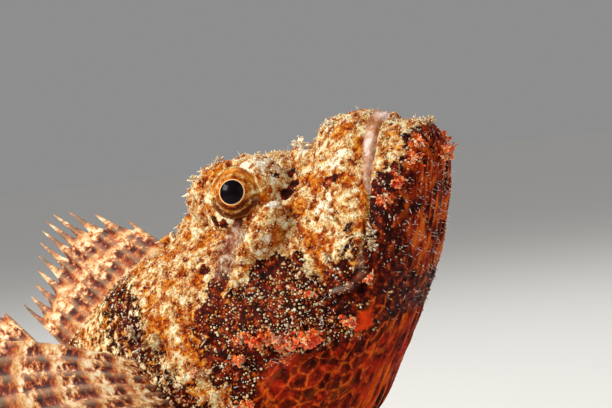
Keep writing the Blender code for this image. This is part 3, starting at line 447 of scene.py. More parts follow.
def changed(piece, kind, **settings):
    """Adds a modifier to a piece and applies it."""
    only(piece)
    change = piece.modifiers.new("change", kind)
    for key, value in settings.items():
        setattr(change, key, value)
    bpy.ops.object.modifier_apply(modifier=change.name)


def settled(piece, node_names, material):
    """Keeps the straight fish's places and markings on its skin, and carries it to the stance."""
    straight = coordinates(piece)
    store_zones(piece, zones(straight))
    store(piece, "fish", straight)
    set_coordinates(piece, in_metres(posed(straight)))
    dressed(piece, node_names, material)


def dressed(piece, node_names, material):
    """Gives a placed piece its material and its place in the frame."""
    piece.data.materials.clear()
    piece.data.materials.append(material)
    piece.data.shade_smooth()
    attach(piece, "root")
    if node_names:
        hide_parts(*node_names)


# Markings, alike on both sides of the fish

def both_alike(points):
    """Points as they lie on the left side."""
    return np.column_stack([points[:, 0], np.abs(points[:, 1]), points[:, 2]])


def patches(points, rows):
    """1 in the middle of the patches, 0 outside them."""
    found = np.zeros(len(points))
    for centre, reach in rows:
        away = np.linalg.norm((points - centre) / reach, axis=1)
        found = np.maximum(found, ramp(away, 1.6, 0.5))
    return found


def below_mouth(points):
    """How far points lie below the line of the mouth, and how far along it from its front to its corner."""
    line = MOUTH_CORNER - MOUTH_FRONT
    length = np.linalg.norm(line)
    line = line / length
    flat = points[:, [0, 2]] - MOUTH_FRONT
    along = flat @ line / length
    return flat @ np.array([-line[1], line[0]]), along


def broad_noise(points, size, seed):
    """Smooth noise from -1 to 1 whose blotches have the given size."""
    shift = Vector((seed * 17.3, seed * 5.1, seed * 9.7))
    return np.array([noise.noise(Vector(p) / size + shift) for p in points])


def jaw_and_throat(points):
    """Shares of the lower jaw, of the flush behind it and of the throat, and depth under the cheek's foot."""
    x, _, z = points.T
    below, _ = below_mouth(points)
    under_cheek = np.interp(x, *CHEEK_FOOT) - z
    jaw = ramp(below, -0.4, 1.0) * ramp(x, -50, -46)
    flushed = patches(points, FLUSHED_PATCHES)
    throat = np.maximum(ramp(under_cheek, 0, 3) * ramp(x, -122, -110), jaw * ramp(below, 17, 26))
    return jaw, flushed, np.maximum(throat, flushed), under_cheek


def lips_and_groove_shade(points, jaw, broken):
    """Bare skin of the upper lip and of the jaw bone's rim, and painted shade where the skin sinks in behind
    and below them.
    """
    below, along = below_mouth(points)
    lip_width = np.interp(along, *BARE_LIP)
    lip = ramp(lip_width + below, 0, 0.8) * ramp(below, 0.8, 0) * ramp(along, 0.50, 0.44)
    behind, share = beside(points, JAW_BONE_EDGE)
    bone = ramp(share, 0.25, 0.45) * (points[:, 1] > SIDE_FROM)
    rim = bone * ramp(share, 0.40, 0.55) * np.exp(-((behind + 1.2) / 0.9) ** 2) * (1 - jaw)
    lip = np.maximum(lip, np.clip(0.22 + 0.8 * broken, 0, 0.7) * rim)
    reach = 2.0 + 3.0 * ramp(share, 0.35, 0.65)
    # Painted shade: the hollow behind the jaw bone's rim, and the skin under the mouth towards its corner,
    # are darkened
    groove_shade = bone * ramp(behind, -0.2, 0.3) * ramp(reach - behind, 0, 1.6)
    corner = jaw * ramp(along, 0.45, 0.75) * ramp(below, 4.5, 1.5)
    return lip, np.maximum(groove_shade, corner)


def zones(points):
    """What the markings are at points of the fish, as shares from 0 to 1.

    Tone is pale, dotted, netted. Tint is smooth, lip, and warm, or cool below 0. Depth is streaked, blushing,
    white.
    """
    points = both_alike(points)
    x, y, z = points.T
    broken = 0.42 * broad_noise(points, 5.2, 7) + 0.30 * broad_noise(points, 2.1, 8)

    def torn(share):
        """A share with a ragged, gradual edge."""
        return ramp(share + broken * ramp(share, 0, 0.25), 0.12, 0.88)

    below, along = below_mouth(points)
    jaw, flushed, throat, under_cheek = jaw_and_throat(points)
    trunk = ramp(x, -96, -110)
    # The dark cheek with its white dots
    above_throat = ramp(under_cheek, -10, -5) * ramp(x, -104, -92) * ramp(x, -40, -44)
    dotted = torn(np.maximum(patches(points, CHEEK_PATCHES), above_throat)) * (1 - throat) * (1 - jaw)
    # The pale ground: head, saddles of the trunk, belly, and a band along the lower lip
    brown = torn(patches(points, BROWN_PATCHES))
    pale = (1 - np.maximum(dotted, torn(patches(points, DARK_PATCHES)))) * (1 - 0.5 * brown)
    saddle = 0.5 + 0.5 * np.sin((x - SADDLE_FROM) * 2 * math.pi / SADDLE) + 0.5 * broad_noise(points, 16, 3)
    pale = pale * (1 - trunk) + trunk * np.clip(0.30 + 0.45 * saddle, 0, 1)
    belly = ramp(z, -30, -44) * trunk
    front = ramp(along, 0.50, 0.20)
    lip_side = (0.32 + 0.44 * front) * ramp(below - 3 * front, 14, 1)
    tip = patches(points, JAW_TIP_PATCHES)
    pale = np.maximum(pale * (1 - jaw) + jaw * torn(np.maximum(lip_side, 1.2 * tip)), belly * 0.8)
    pale *= 1 - throat * (1 - belly)
    white = 0.46 * patches(points, COOL_PATCHES) * (1 - jaw)
    white = np.maximum(torn(patches(points, WHITE_PATCHES)), white)
    dotted = np.maximum(dotted, 0.35 * trunk * (1 - belly))
    # Painted shade under the jaw bone and towards the mouth's corner: the dark ground shows there without
    # pale skin or white dots
    lip, groove_shade = lips_and_groove_shade(points, jaw, broken)
    pale, dotted = pale * (1 - groove_shade), dotted * (1 - 0.95 * groove_shade)
    # Warm and cool skin, and the streaks and the blush of the throat
    smooth = patches(points, SMOOTH_PATCHES)
    warm = patches(points, WARM_PATCHES) - patches(points, COOL_PATCHES)
    streaked = np.maximum(jaw * ramp(below, 8, 14) * (1 - tip), throat * ramp(y, 17, 9) * ramp(x, -110, -94))
    blush = throat * (0.35 + 0.65 * ramp(x, -38, -54)) * ramp(x, -112, -92) + 0.55 * flushed
    return (np.column_stack([pale, dotted, throat * (1 - 0.5 * trunk)]),
            np.column_stack([smooth, lip, warm]), np.column_stack([streaked, blush, white]))


def store_zones(piece, found, repeat=1):
    """Keeps the markings on the points of a piece for its material."""
    for name, values in zip(("tone", "tint", "depth"), found):
        store(piece, name, np.repeat(values, repeat, axis=0))


# Skin

def section_tube():
    """The trunk and head without their swellings, as a closed tube."""
    above, below = 40, 34
    places = np.concatenate([np.linspace(0.2, 1, 5), np.arange(1.125, TAIL_END + 0.05, 0.125)])
    guide = spline(STATIONS, places)[:, None, :]
    upper = np.linspace(0, math.pi / 2, above + 1)
    lower = np.linspace(math.pi / 2, 0, below + 1)[1:]
    arcs = []
    for angle, first, fullness in ((upper, 0, 7), (lower, 2, 8)):
        power = 2 / guide[..., fullness]
        rise = np.cos(angle)[None] ** power
        out = np.sin(angle)[None] ** power
        across = guide[..., 4] + (guide[..., first] - guide[..., 4]) * rise
        height = guide[..., 6] + (guide[..., first + 1] - guide[..., 6]) * rise
        arcs.append(np.stack([across, guide[..., 5] * out, height], 2))
    left = np.concatenate(arcs, axis=1)
    right = left[:, -2:0:-1] * np.array([1, -1, 1])
    grid = np.concatenate([left, right], axis=1)
    tip = spline(STATIONS, np.array([0.0]))[0, [4, 5, 6]]
    end = grid[-1].mean(0) - np.array([1.5, 0, 0])
    return mesh_piece("fish_skin", np.vstack([grid.reshape(-1, 3), tip, end]), tube(*grid.shape[:2]))


def swelling(centre, half, tilt):
    """One swelling of the skin, as a ball drawn out to its size."""
    bpy.ops.mesh.primitive_uv_sphere_add(segments=48, ring_count=28, radius=1, location=centre,
                                         rotation=(0, math.radians(tilt), 0), scale=half)
    return bpy.context.object


def ring(centre, aim, radius, thickness):
    """A raised fold of skin round an opening."""
    turn = Vector(aim).to_track_quat("Z", "Y").to_euler()
    bpy.ops.mesh.primitive_torus_add(location=centre, rotation=turn, major_radius=radius,
                                     minor_radius=thickness, major_segments=64, minor_segments=12)
    return bpy.context.object


def roll(name, path, radii):
    """A rounded roll of skin along a path, closed at both ends."""
    path, radii = np.asarray(path, float), np.asarray(radii, float)
    count = 12
    ahead = np.gradient(path, axis=0)
    ahead /= np.linalg.norm(ahead, axis=1, keepdims=True)
    first = np.cross(ahead, np.eye(3)[np.argmin(np.abs(ahead).max(0))])
    first /= np.linalg.norm(first, axis=1, keepdims=True)
    second = np.cross(ahead, first)
    angle = np.arange(count) * 2 * math.pi / count
    circle = (np.cos(angle)[None, :, None] * first[:, None]
              + np.sin(angle)[None, :, None] * second[:, None])
    grid = path[:, None] + circle * radii[:, None, None]
    points = np.vstack([grid.reshape(-1, 3), path[0], path[-1]])
    return mesh_piece(name, points, tube(len(path), count))


def fleshy_point(place, aim, length, radius):
    """A pointed cone of skin that a head spine stands in."""
    share = np.linspace(0, 1, 9)[:, None]
    way = aim / np.linalg.norm(aim)
    path = place + way * (share * (length + 3.0) - 3.0)
    return roll("fleshy_point", path, radius * (1.15 - share[:, 0] ** 1.3))


def lip_roll(name, offset, thick):
    """The roll of the upper or the lower lip, from corner to corner."""
    guide = spline(STATIONS, np.linspace(0.35, LIP_END, 30))
    up = np.array([-math.sin(MOUTH_SLOPE), 0, math.cos(MOUTH_SLOPE)])
    left = guide[:, [4, 5, 6]] + up * offset
    left[:, 1] += 0.1
    tip = np.array([LIP_TIP]) + up * offset
    path = np.vstack([(left * np.array([1, -1, 1]))[::-1], tip, left])
    aside = np.abs(np.linspace(-1, 1, len(path)))
    return roll(name, path, thick * np.interp(aside, *LIP_THINNING))


def pushed_in(points, centre, reach, depth):
    """Pulls points in towards the backbone around a centre."""
    away = (points - centre) / reach
    share = np.exp(-1.5 * (away**2).sum(1, keepdims=True))
    inward = np.array([[0.0, -1.0, -1.0]]) * np.sign(np.array([[1, max(centre[1], 0.0), 1]]))
    return points + inward / max(np.linalg.norm(inward), 1) * share * depth


def hollowed(points):
    """Adds the hollows of the head, alike on both sides."""
    mirror = np.array([1, -1, 1])
    for centre, reach, depth in HOLLOWS:
        points = pushed_in(points, np.array(centre), np.array(reach), depth)
        if centre[1]:
            points = pushed_in(points * mirror, np.array(centre), np.array(reach), depth) * mirror
    return points


def beside(points, path):
    """Signed distance from a path seen from the side, positive behind it, and the share along the path."""
    path = spline(path, np.linspace(0, len(path) - 1, 60))
    flat = points[:, [0, 2]]
    best, sign, share = np.full(len(flat), 1e9), np.ones(len(flat)), np.zeros(len(flat))
    for step, (start, end) in enumerate(zip(path[:-1], path[1:])):
        line = end - start
        part = np.clip((flat - start) @ line / (line @ line), 0, 1)
        away = flat - start - part[:, None] * line
        distance = np.linalg.norm(away, axis=1)
        nearer = distance < best
        best[nearer] = distance[nearer]
        cross = line[0] * away[:, 1] - line[1] * away[:, 0]
        sign[nearer] = np.sign(cross)[nearer]
        share[nearer] = ((step + part) / (len(path) - 1))[nearer]
    return best * -sign, share


def relief(points):
    """How far the skin rises or sinks at each point: folds, edges, scales and lumps."""
    left = both_alike(points)
    x, y = left[:, 0], left[:, 1]
    below, along = below_mouth(left)
    inside = ramp(along, -0.05, 0.01) * ramp(along, 1.02, 0.94)
    rise = -MOUTH_DEPTH * np.exp(-(below / MOUTH_WIDTH) ** 2) * inside
    for path, depth, width in GROOVES:
        behind, share = beside(left, path)
        fade = ramp(share, 0, 0.12) * ramp(share, 1, 0.88) * (y > SIDE_FROM)
        rise -= depth * fade * ramp(behind, 0, 0.9) * np.exp(-np.maximum(behind, 0) / width)
        rise += 0.5 * depth * fade * np.exp(-((behind + 1.2) / 1.3) ** 2)
    tone, _, depth = zones(points)
    netted = np.maximum(tone[:, 2], depth[:, 0])
    wander = FOLD_WANDER * broad_noise(left, 11, 5)
    folded = np.sin((y + wander) * 2 * math.pi / FOLD) + 0.4 * np.sin((y - wander) * 2 * math.pi / FINE_FOLD)
    rise += FOLD_HEIGHT * netted * folded * ramp(x, -100, -80)
    head = ramp(x, -118, -104)
    rise += head * (1 - netted) * (0.55 * broad_noise(points, 4.2, 1) + 0.30 * broad_noise(points, 1.9, 2))
    rise += 0.35 * broad_noise(points, 9.0, 4)
    return rise - 0.1 + scales(points) * (1 - head)


def scales(points):
    """Overlapping scales of the trunk, highest at their rear edge."""
    x, y, z = points.T
    around = np.arctan2(y, z) * SCALE_ROUND
    row = -x / SCALE_LENGTH
    index = np.floor(row)
    across = around / SCALE_WIDTH + 0.5 * (index % 2)
    offset = across - np.floor(across) - 0.5
    within = row - index - 0.55 * (offset * 2) ** 2
    within -= np.floor(within)
    return SCALE_HEIGHT * within * (1 - 0.5 * (offset * 2) ** 4) - 0.2


def tucked_under_eyes(points):
    """Sinks the skin inside the lids below the surface of the eyes."""
    deep = EYE_RADIUS - SKIN_UNDER_EYE
    for side in (1, -1):
        centre, aim = mirrored(EYE, side), mirrored(EYE_AIM, side)
        away = points - centre
        ahead = away @ aim
        across = np.linalg.norm(away - ahead[:, None] * aim, axis=1)
        distance = np.linalg.norm(away, axis=1)
        inside = (ahead > 0) & (across < LID_RADIUS - 0.4) & (distance > deep)
        points[inside] = centre + away[inside] * (deep / distance[inside])[:, None]
    return points


def grown_together(parts, smoothing):
    """Joins closed parts, grows them together to one closed skin and smooths it."""
    skin = joined(parts, "fish_skin")
    changed(skin, "REMESH", mode="VOXEL", voxel_size=SKIN_STEP)
    changed(skin, "SMOOTH", factor=0.5, iterations=smoothing)
    return skin


def thinned(skin):
    """Brings the skin down to its number of triangles, most of all on the trunk."""
    trunk = skin.vertex_groups.new(name="trunk")
    away = -coordinates(skin)[:, 0]
    for weight, low, high in THINNING:
        trunk.add([int(i) for i in np.nonzero((away > low) & (away <= high))[0]], weight, "REPLACE")
    count = len(skin.data.polygons)
    if count > SKIN_TRIANGLES:
        changed(skin, "DECIMATE", ratio=SKIN_TRIANGLES / count, vertex_group="trunk", vertex_group_factor=1.0)
    skin.vertex_groups.clear()


def fish_skin():
    """Head and body in one closed skin, with lips, lids, nostril rims, folds, gill edges and scales."""
    parts = [section_tube()]
    for centre, half, tilt in SWELLINGS:
        for side in ((1, -1) if centre[1] else (1,)):
            parts.append(swelling(mirrored(centre, side), half, tilt))
    skin = grown_together(parts, SWELLING_SMOOTHING)
    set_coordinates(skin, hollowed(coordinates(skin)))
    parts = [skin] + [lip_roll(*lip) for lip in LIPS]
    lid_depth = math.sqrt(EYE_RADIUS**2 - LID_RADIUS**2) - LID_SUNK
    for side in (1, -1):
        aim = mirrored(EYE_AIM, side)
        parts.append(ring(mirrored(EYE, side) + aim * lid_depth, aim, LID_RADIUS + LID_MARGIN, LID_ROLL))
        parts.append(ring(mirrored(NOSTRIL, side), mirrored(NOSTRIL_AIM, side), NOSTRIL_RADIUS, NOSTRIL_ROLL))
        for place, way, length, radius in SPINES:
            place, way = mirrored(place, side), mirrored(way, side)
            parts.append(fleshy_point(place, way, length * 0.75, radius * 1.3))
    skin = grown_together(parts, ROLL_SMOOTHING)
    points = coordinates(skin)
    set_coordinates(skin, points + normals_of(skin) * relief(points)[:, None])
    changed(skin, "TRIANGULATE")
    thinned(skin)
    set_coordinates(skin, tucked_under_eyes(coordinates(skin)))
    return skin


# Coat: granules, cirri, tassels and spines

# A tuft's patch on the unwrapped skin, as a share of the map
TUFT_PATCH = 0.003

# The map's reach along the fish: from ahead of the lip, over the whole length
MAP_FROM, MAP_LENGTH = 12.0, 350.0

# Tufts, as the share of the height and of the width of each ring from the root to below the tip
DOME = ((-0.5, 1.0), (0.4, 0.95), (0.84, 0.56))
HAIR = ((-0.1, 1.0), (0.25, 0.85), (0.55, 0.62), (0.8, 0.36))
BEAD = ((-0.2, 0.4), (0.25, 0.55), (0.6, 1.0), (0.88, 0.8))
THORN = ((-0.35, 1.15), (0.0, 0.9), (0.3, 0.62), (0.6, 0.36), (0.85, 0.15))

# Granules: least distance between them, seed, least and most radius, least and most height for their radius
CHEEK_GRANULES = (0.66, 11, (0.19, 0.58), (1.0, 2.2))
HEAD_GRANULES = (0.5, 12, (0.18, 0.52), (0.8, 1.5))

# Mesh and thickness of the thin lobes of a tassel
FRILL_ROWS, FRILL_COLUMNS, FRILL_THICKNESS = 4, 12, 0.16


def bake_place(fish):
    """Where a root lies on the unwrapped skin: along the fish, and round it from the belly."""
    across = (MAP_FROM - fish[:, 0]) / MAP_LENGTH
    around = np.arctan2(fish[:, 1], fish[:, 2] + 5.0) / (2 * math.pi) + 0.5
    return np.column_stack([0.01 + 0.98 * np.clip(across, 0, 1), 0.01 + 0.98 * np.clip(around, 0, 1)])


def unit(vectors):
    """Vectors of length 1."""
    return vectors / np.maximum(np.linalg.norm(vectors, axis=1, keepdims=True), 1e-9)


def tufts(name, roots, fish, aims, bends, lengths, widths, flatness, profile, sides):
    """Many closed tufts in one mesh. The profile gives each ring's share of the height and of the width.

    The tip is a point. A bend is where the tip moves from the straight line, in lengths.
    """
    profile = np.asarray(profile, float)
    count, rows = len(roots), len(profile)
    aims = unit(aims)
    spare = np.where(np.abs(aims[:, 2:3]) < 0.9, [[0, 0, 1.0]], [[1.0, 0, 0]])
    wide = unit(np.cross(aims, spare))
    thin = np.cross(aims, wide)
    angle = np.arange(sides) * 2 * math.pi / sides
    height = np.append(profile[:, 0], 1.0)
    line = roots[:, None] + (aims[:, None] * height[None, :, None]
                             + bends[:, None] * np.sign(height)[None, :, None] * height[None, :, None] ** 2
                             ) * lengths[:, None, None]
    circle = (np.cos(angle)[None, :, None] * wide[:, None]
              + np.sin(angle)[None, :, None] * thin[:, None] * flatness)
    radii = profile[:, 1][None, :, None, None] * widths[:, None, None, None]
    body = line[:, :-1, None] + circle[:, None] * radii
    points = np.concatenate([body.reshape(count, -1, 3), line[:, -1:]], axis=1)
    size = rows * sides + 1
    faces = []
    for row in range(rows - 1):
        for column in range(sides):
            here, there = row * sides + column, row * sides + (column + 1) % sides
            faces += [(here, there, there + sides), (here, there + sides, here + sides)]
    last = (rows - 1) * sides
    faces += [(last + column, last + (column + 1) % sides, size - 1) for column in range(sides)]
    faces += [(0, column + 1, column) for column in range(1, sides - 1)]
    made = mesh_piece(name, in_metres(points.reshape(-1, 3)), repeated(faces, count, size))
    shares = np.append(np.repeat(height[:-1], sides), 1.0)
    store(made, "tip", np.tile(np.clip(shares, 0, 1), count))
    store(made, "fish", np.repeat(fish, size, axis=0))
    store_zones(made, zones(fish), size)
    across = np.append(np.tile(np.cos(angle), rows), 0.0)
    laid_out(made, fish, across * 0.5, np.clip(shares, 0, 1) - 0.5)
    return made


def repeated(faces, count, size):
    """The faces of one tuft of this many points, repeated for every tuft of a mesh."""
    faces = np.array(faces)
    return (faces[None] + (np.arange(count) * size)[:, None, None]).reshape(-1, faces.shape[1])


def laid_out(made, fish, across, along):
    """Gives each tuft a small patch of the map, at its root's place on the unwrapped skin."""
    patch = np.column_stack([across, along]) * TUFT_PATCH
    places = (bake_place(fish)[:, None] + patch[None]).reshape(-1, 2)
    layer = made.data.uv_layers.new(name="OFBake")
    corners = np.empty(len(made.data.loops), np.int64)
    made.data.loops.foreach_get("vertex_index", corners)
    layer.data.foreach_set("uv", places[corners].astype(np.float32).ravel())


class Ground:
    """The finished skin as something that tufts can be set on."""

    def __init__(self, skin):
        self.fish = coordinates(skin)
        self.points = posed(self.fish)
        self.triangles = np.array([tuple(face.vertices) for face in skin.data.polygons])
        corners = self.points[self.triangles]
        cross = np.cross(corners[:, 1] - corners[:, 0], corners[:, 2] - corners[:, 0])
        self.area = np.linalg.norm(cross, axis=1) / 2
        self.facing = unit(cross)
        self.middle = self.fish[self.triangles].mean(1)
        self.zones = zones(self.middle)
        self.tree = BVHTree.FromPolygons([tuple(p) for p in self.fish], [tuple(t) for t in self.triangles])

    def scattered(self, density, spacing, seed):
        """Places drawn at each triangle's density per square millimetre, no two closer than the spacing."""
        draw = np.random.default_rng(seed)
        weight = self.area * density
        total = int(weight.sum())
        picked = draw.choice(len(weight), total, p=weight / weight.sum())
        first, second = draw.random((2, total, 1))
        over = first + second > 1
        first, second = np.where(over, 1 - first, first), np.where(over, 1 - second, second)
        corners = self.triangles[picked]
        taken, kept = {}, []
        spots = self.blend(self.points, corners, first, second)
        cells = np.floor(spots / spacing).astype(int)
        for index in range(total):
            cell = tuple(cells[index])
            near = (taken.get((cell[0] + i, cell[1] + j, cell[2] + k))
                    for i in (-1, 0, 1) for j in (-1, 0, 1) for k in (-1, 0, 1))
            if all(other is None or np.linalg.norm(spots[index] - spots[other]) > spacing for other in near):
                taken[cell] = index
                kept.append(index)
        kept = np.array(kept)
        fish = self.blend(self.fish, corners, first, second)
        return spots[kept], fish[kept], self.facing[picked[kept]]

    @staticmethod
    def blend(points, corners, first, second):
        """Points inside triangles."""
        start = points[corners[:, 0]]
        return start + (points[corners[:, 1]] - start) * first + (points[corners[:, 2]] - start) * second

    def nearest(self, guess, side):
        """The place on the straight skin nearest to a guess, and the way the straight skin faces there."""
        place, normal, _, _ = self.tree.find_nearest(Vector(mirrored(guess, side)))
        return np.array(place), np.array(normal)


def bent(places, directions):
    """Directions at places of the straight fish, as they are on the bent fish."""
    places, directions = np.atleast_2d(places), np.atleast_2d(directions)
    return (posed(places + directions * 0.5) - posed(places)) / 0.5


def granules(ground, name, side, density, spacing, seed, size, stretch, material):
    """Small rounded papillae of the skin on one side of the head."""
    spots, fish, facing = ground.scattered(density * (ground.middle[:, 1] * side > 0), spacing, seed)
    draw = np.random.default_rng(seed + 100)
    count = len(spots)
    lean = draw.normal(0, 0.25, (count, 3))
    wide = size[0] + (size[1] - size[0]) * draw.random(count) ** 1.7
    tall = wide * draw.uniform(stretch[0], stretch[1], count)
    made = tufts(name, spots, fish, facing + lean, np.zeros((count, 3)), tall, wide, 1.0, DOME, 5)
    store_shade(made, count, draw)
    dressed(made, (), material)


def store_shade(made, count, draw):
    """Gives each tuft of a mesh a shade of its own."""
    per_tuft = len(made.data.vertices) // count
    store(made, "shade", np.repeat(draw.random(count), per_tuft))


def coat_of_granules(ground, white, mixed_shades):
    """Pale granules over the dark cheek, and finer mixed ones over the pale head."""
    points = ground.middle
    x, left = points[:, 0], both_alike(points)
    tone, tint, depth = ground.zones
    open_skin = (1 - tint[:, 1]) * (1 - tone[:, 2]) * off_eyes(points)
    crowded = patches(left, CROWDED_PATCHES)
    clustered = 0.9 + 1.1 * broad_noise(points, 5.0, 9) + 0.6 * broad_noise(points, 2.0, 10)
    on_cheek = (0.75 + 1.5 * crowded) * np.clip(clustered, 0.15, 1.8) * tone[:, 1] * open_skin
    pale = np.clip(tone[:, 0], 0, 1)
    below, _ = below_mouth(left)
    jaw = ramp(below, 0, 2) * ramp(x, -50, -46)
    on_head = (0.10 + 1.3 * pale) * (1 - tone[:, 1]) * (1 - 0.85 * tint[:, 0]) * (1 - 0.7 * depth[:, 2])
    on_head *= open_skin * ramp(x, -122, -106) * (1 - 0.3 * jaw)
    for side, name in ((1, "left"), (-1, "right")):
        granules(ground, "cheek_granules_" + name, side, on_cheek, *CHEEK_GRANULES, white)
        granules(ground, "head_granules_" + name, side, on_head, *HEAD_GRANULES, mixed_shades)


def off_eyes(points):
    """0 on the eyes, 1 elsewhere."""
    away = np.linalg.norm(both_alike(points) - np.array(EYE), axis=1)
    return ramp(away - EYE_RADIUS, 1.4, 2.6)


def cirri(ground, material):
    """Fine white threads of skin on the brow, the chin, the jaws and over the head."""
    points = ground.middle
    left = both_alike(points)
    x = left[:, 0]
    below, _ = below_mouth(left)
    tone, tint, _ = ground.zones
    chin = ramp(x, -34, -18) * ramp(below, 5, 10) * 0.20 * (1 - 0.5 * tone[:, 2])
    brow = patches(left, BROW_PATCHES) * 0.42
    fringe = patches(left, FRINGE_PATCHES) * 0.8
    rest = (0.05 * ramp(x, -125, -105) * (1 - tint[:, 1]) + 0.012) * (1 - tone[:, 2])
    spots, fish, facing = ground.scattered((chin + brow + fringe + rest) * off_eyes(points), 0.8, 21)
    draw = np.random.default_rng(22)
    count = len(spots)
    drift = bent([-60.0, 0, 0], [-0.5, 0, 0.35])
    aims = facing + draw.normal(0, 0.35, (count, 3)) + drift * 0.4
    lengths = 0.8 + 1.3 * draw.random(count) ** 1.6
    bends = draw.normal(0, 0.32, (count, 3))
    widths = draw.uniform(0.14, 0.24, count)
    made = tufts("cirri", spots, fish, aims, bends, lengths, widths, 0.7, HAIR, 4)
    store_shade(made, count, draw)
    dressed(made, (), material)


def frills(name, roots, fish, aims, wides, lengths, spreads, phases):
    """Ruffled fans of thin skin, each closed, in one mesh. A spread is half the angle a fan opens to."""
    share = np.linspace(0, 1, FRILL_ROWS)
    turn = np.linspace(-1, 1, FRILL_COLUMNS)
    aims = unit(aims)
    wide = unit(wides - aims * (wides * aims).sum(1)[:, None])
    thin = np.cross(aims, wide)
    count, size = len(roots), 2 * FRILL_ROWS * FRILL_COLUMNS
    angle = spreads[:, None] * turn
    lobes = 0.50 + 0.45 * np.sqrt(np.cos(turn * 1.5)) + 0.09 * np.sin(turn * 7 + phases[:, :1])
    reach = lengths[:, None] * lobes
    out = (0.12 + 0.88 * share)[None, :, None] * reach[:, None]
    wave = 0.24 * np.sin(turn * 5 + phases[:, 2:3]) + 0.12 * np.sin(turn * 9 + phases[:, 3:4])
    ruffle = share[None, :, None] ** 1.5 * lengths[:, None, None] * wave[:, None]
    cup = share[None, :, None] ** 2 * lengths[:, None, None] * (phases[:, 4:5, None] - 1.5) * 0.16
    along, across = out * np.cos(angle)[:, None], out * np.sin(angle)[:, None]
    middle = (roots[:, None, None] + aims[:, None, None] * along[..., None]
              + wide[:, None, None] * across[..., None] + thin[:, None, None] * (ruffle + cup)[..., None])
    half = FRILL_THICKNESS * (1 - 0.5 * share)[None, :, None, None] * thin[:, None, None]
    points = np.stack([middle + half, middle - half], axis=1).reshape(-1, 3)
    made = mesh_piece(name, in_metres(points), repeated(two_sided(FRILL_ROWS, FRILL_COLUMNS), count, size))
    store(made, "tip", np.tile(np.repeat(share, FRILL_COLUMNS), 2 * count))
    store_zones(made, zones(fish), size)
    laid_out(made, fish, np.tile(np.tile(turn, FRILL_ROWS), 2) * 0.5,
             np.tile(np.repeat(share, FRILL_COLUMNS), 2) - 0.5)
    return made


def grown_tassel(place, normal, side, tassel, draw):
    """The thin lobes and the beaded twigs of one tassel, each with its root, its shape and its redness."""
    _, hang, length, width, redness = tassel
    aim = normal * (1 - abs(hang) * 0.5) + HANG * hang + draw.normal(0, 0.12, 3)
    aim /= np.linalg.norm(aim)
    wide = np.cross(aim, [0.2, side, 0.5])
    wide /= np.linalg.norm(wide)
    thin = np.cross(aim, wide)
    lobes, twigs = [], []
    count = 4 + int(width * 1.6)
    for step in range(count):
        lean = (step + 0.5) / count - 0.5
        root = place + wide * lean * width * 0.7 + thin * draw.normal(0, 0.14) * width
        root = root + aim * length * draw.uniform(0, 0.35)
        way = aim + wide * lean * 1.5 + thin * draw.normal(0, 0.6)
        lobes.append((root, place, way, wide + thin * draw.normal(0, 1.0), length * draw.uniform(0.32, 0.6),
                      math.radians(draw.uniform(34, 50)), redness * draw.choice((0.3, 1.0, 1.0))))
    for _ in range(8 + int(width * 9)):
        spread = math.radians(draw.uniform(-75, 75))
        way = aim * math.cos(spread) + wide * math.sin(spread) + thin * draw.normal(0, 0.6)
        root = place + way * length * draw.uniform(0.2, 0.7)
        twigs.append((root, place, way + draw.normal(0, 0.5, 3), draw.normal(0, 0.3, 3),
                      draw.uniform(0.8, 1.3), draw.uniform(0.25, 0.42) + 0.03 * width,
                      redness * draw.choice((0.2, 0.8, 1.0, 1.0))))
    return lobes, twigs


def tassels(ground, material):
    """Frilled, branched skin tassels, orange-red with cream edges on the chin and cheek."""
    draw = np.random.default_rng(31)
    lobes, twigs = [], []
    for side in (1, -1):
        for tassel in TASSELS:
            grown = grown_tassel(*ground.nearest(tassel[0], side), side, tassel, draw)
            lobes += grown[0]
            twigs += grown[1]
    roots, fish, ways, wides, lengths, spreads, reds = (np.array(column) for column in zip(*lobes))
    phases = draw.uniform(0, 6.3, (len(lobes), 5))
    made = frills("tassel_frills", posed(roots), fish, bent(fish, ways), bent(fish, wides), lengths, spreads,
                  phases)
    coloured_tassels(made, reds, draw, material)
    roots, fish, ways, bends, lengths, widths, reds = (np.array(column) for column in zip(*twigs))
    made = tufts("tassel_twigs", posed(roots), fish, bent(fish, ways), bent(fish, bends), lengths, widths,
                 0.8, BEAD, 5)
    coloured_tassels(made, reds, draw, material)


def coloured_tassels(made, reds, draw, material):
    """Gives each part of the tassels its own redness and shade."""
    store(made, "red", np.repeat(reds, len(made.data.vertices) // len(reds)))
    store_shade(made, len(reds), draw)
    dressed(made, (), material)


def spines(material):
    """Sharp ridged spines of the head."""
    rows = []
    for side in (1, -1):
        for guess, aim, length, radius in SPINES:
            way = mirrored(aim, side)
            place = mirrored(guess, side) + way / np.linalg.norm(way) * length * 0.35
            rows.append((posed(place)[0], place, bent(place, way)[0], length * 0.8, radius * 0.5))
    roots, fish, aims, lengths, widths = (np.array(column) for column in zip(*rows))
    still = np.zeros((len(roots), 3))
    made = tufts("head_spines", roots, fish, aims, still, lengths, widths, 0.85, THORN, 10)
    dressed(made, (), material)


# Eyes

def eye(side, material):
    """An eyeball with a domed cornea that looks out of its lids."""
    name = "eyeball_left" if side > 0 else "eyeball_right"
    bpy.ops.mesh.primitive_uv_sphere_add(segments=96, ring_count=64, radius=EYE_RADIUS)
    made = bpy.context.object
    made.name = name
    points = coordinates(made)
    across = np.linalg.norm(points[:, :2], axis=1)
    front = points[:, 2] > 0
    dome = 0.35 * ramp(across, IRIS_RADIUS, 0)
    dip = 0.25 * np.exp(-((across - IRIS_RADIUS) / 0.8) ** 2)
    points[:, 2] += np.where(front, dome - dip, 0)
    aim = mirrored(EYE_AIM, side)
    straight = points @ np.array(Vector(aim).to_track_quat("Z", "Y").to_matrix()).T
    forward = np.array([1.0, 0, 0]) - aim * aim[0]
    rise = np.array([0, 0, 1.0]) - aim * aim[2]
    store(made, "look", np.column_stack([straight @ forward, straight @ rise, straight @ aim]))
    straight += mirrored(EYE, side)
    set_coordinates(made, in_metres(posed(straight)))
    dressed(made, ("eye_left" if side > 0 else "eye_right",), material)


# Fins

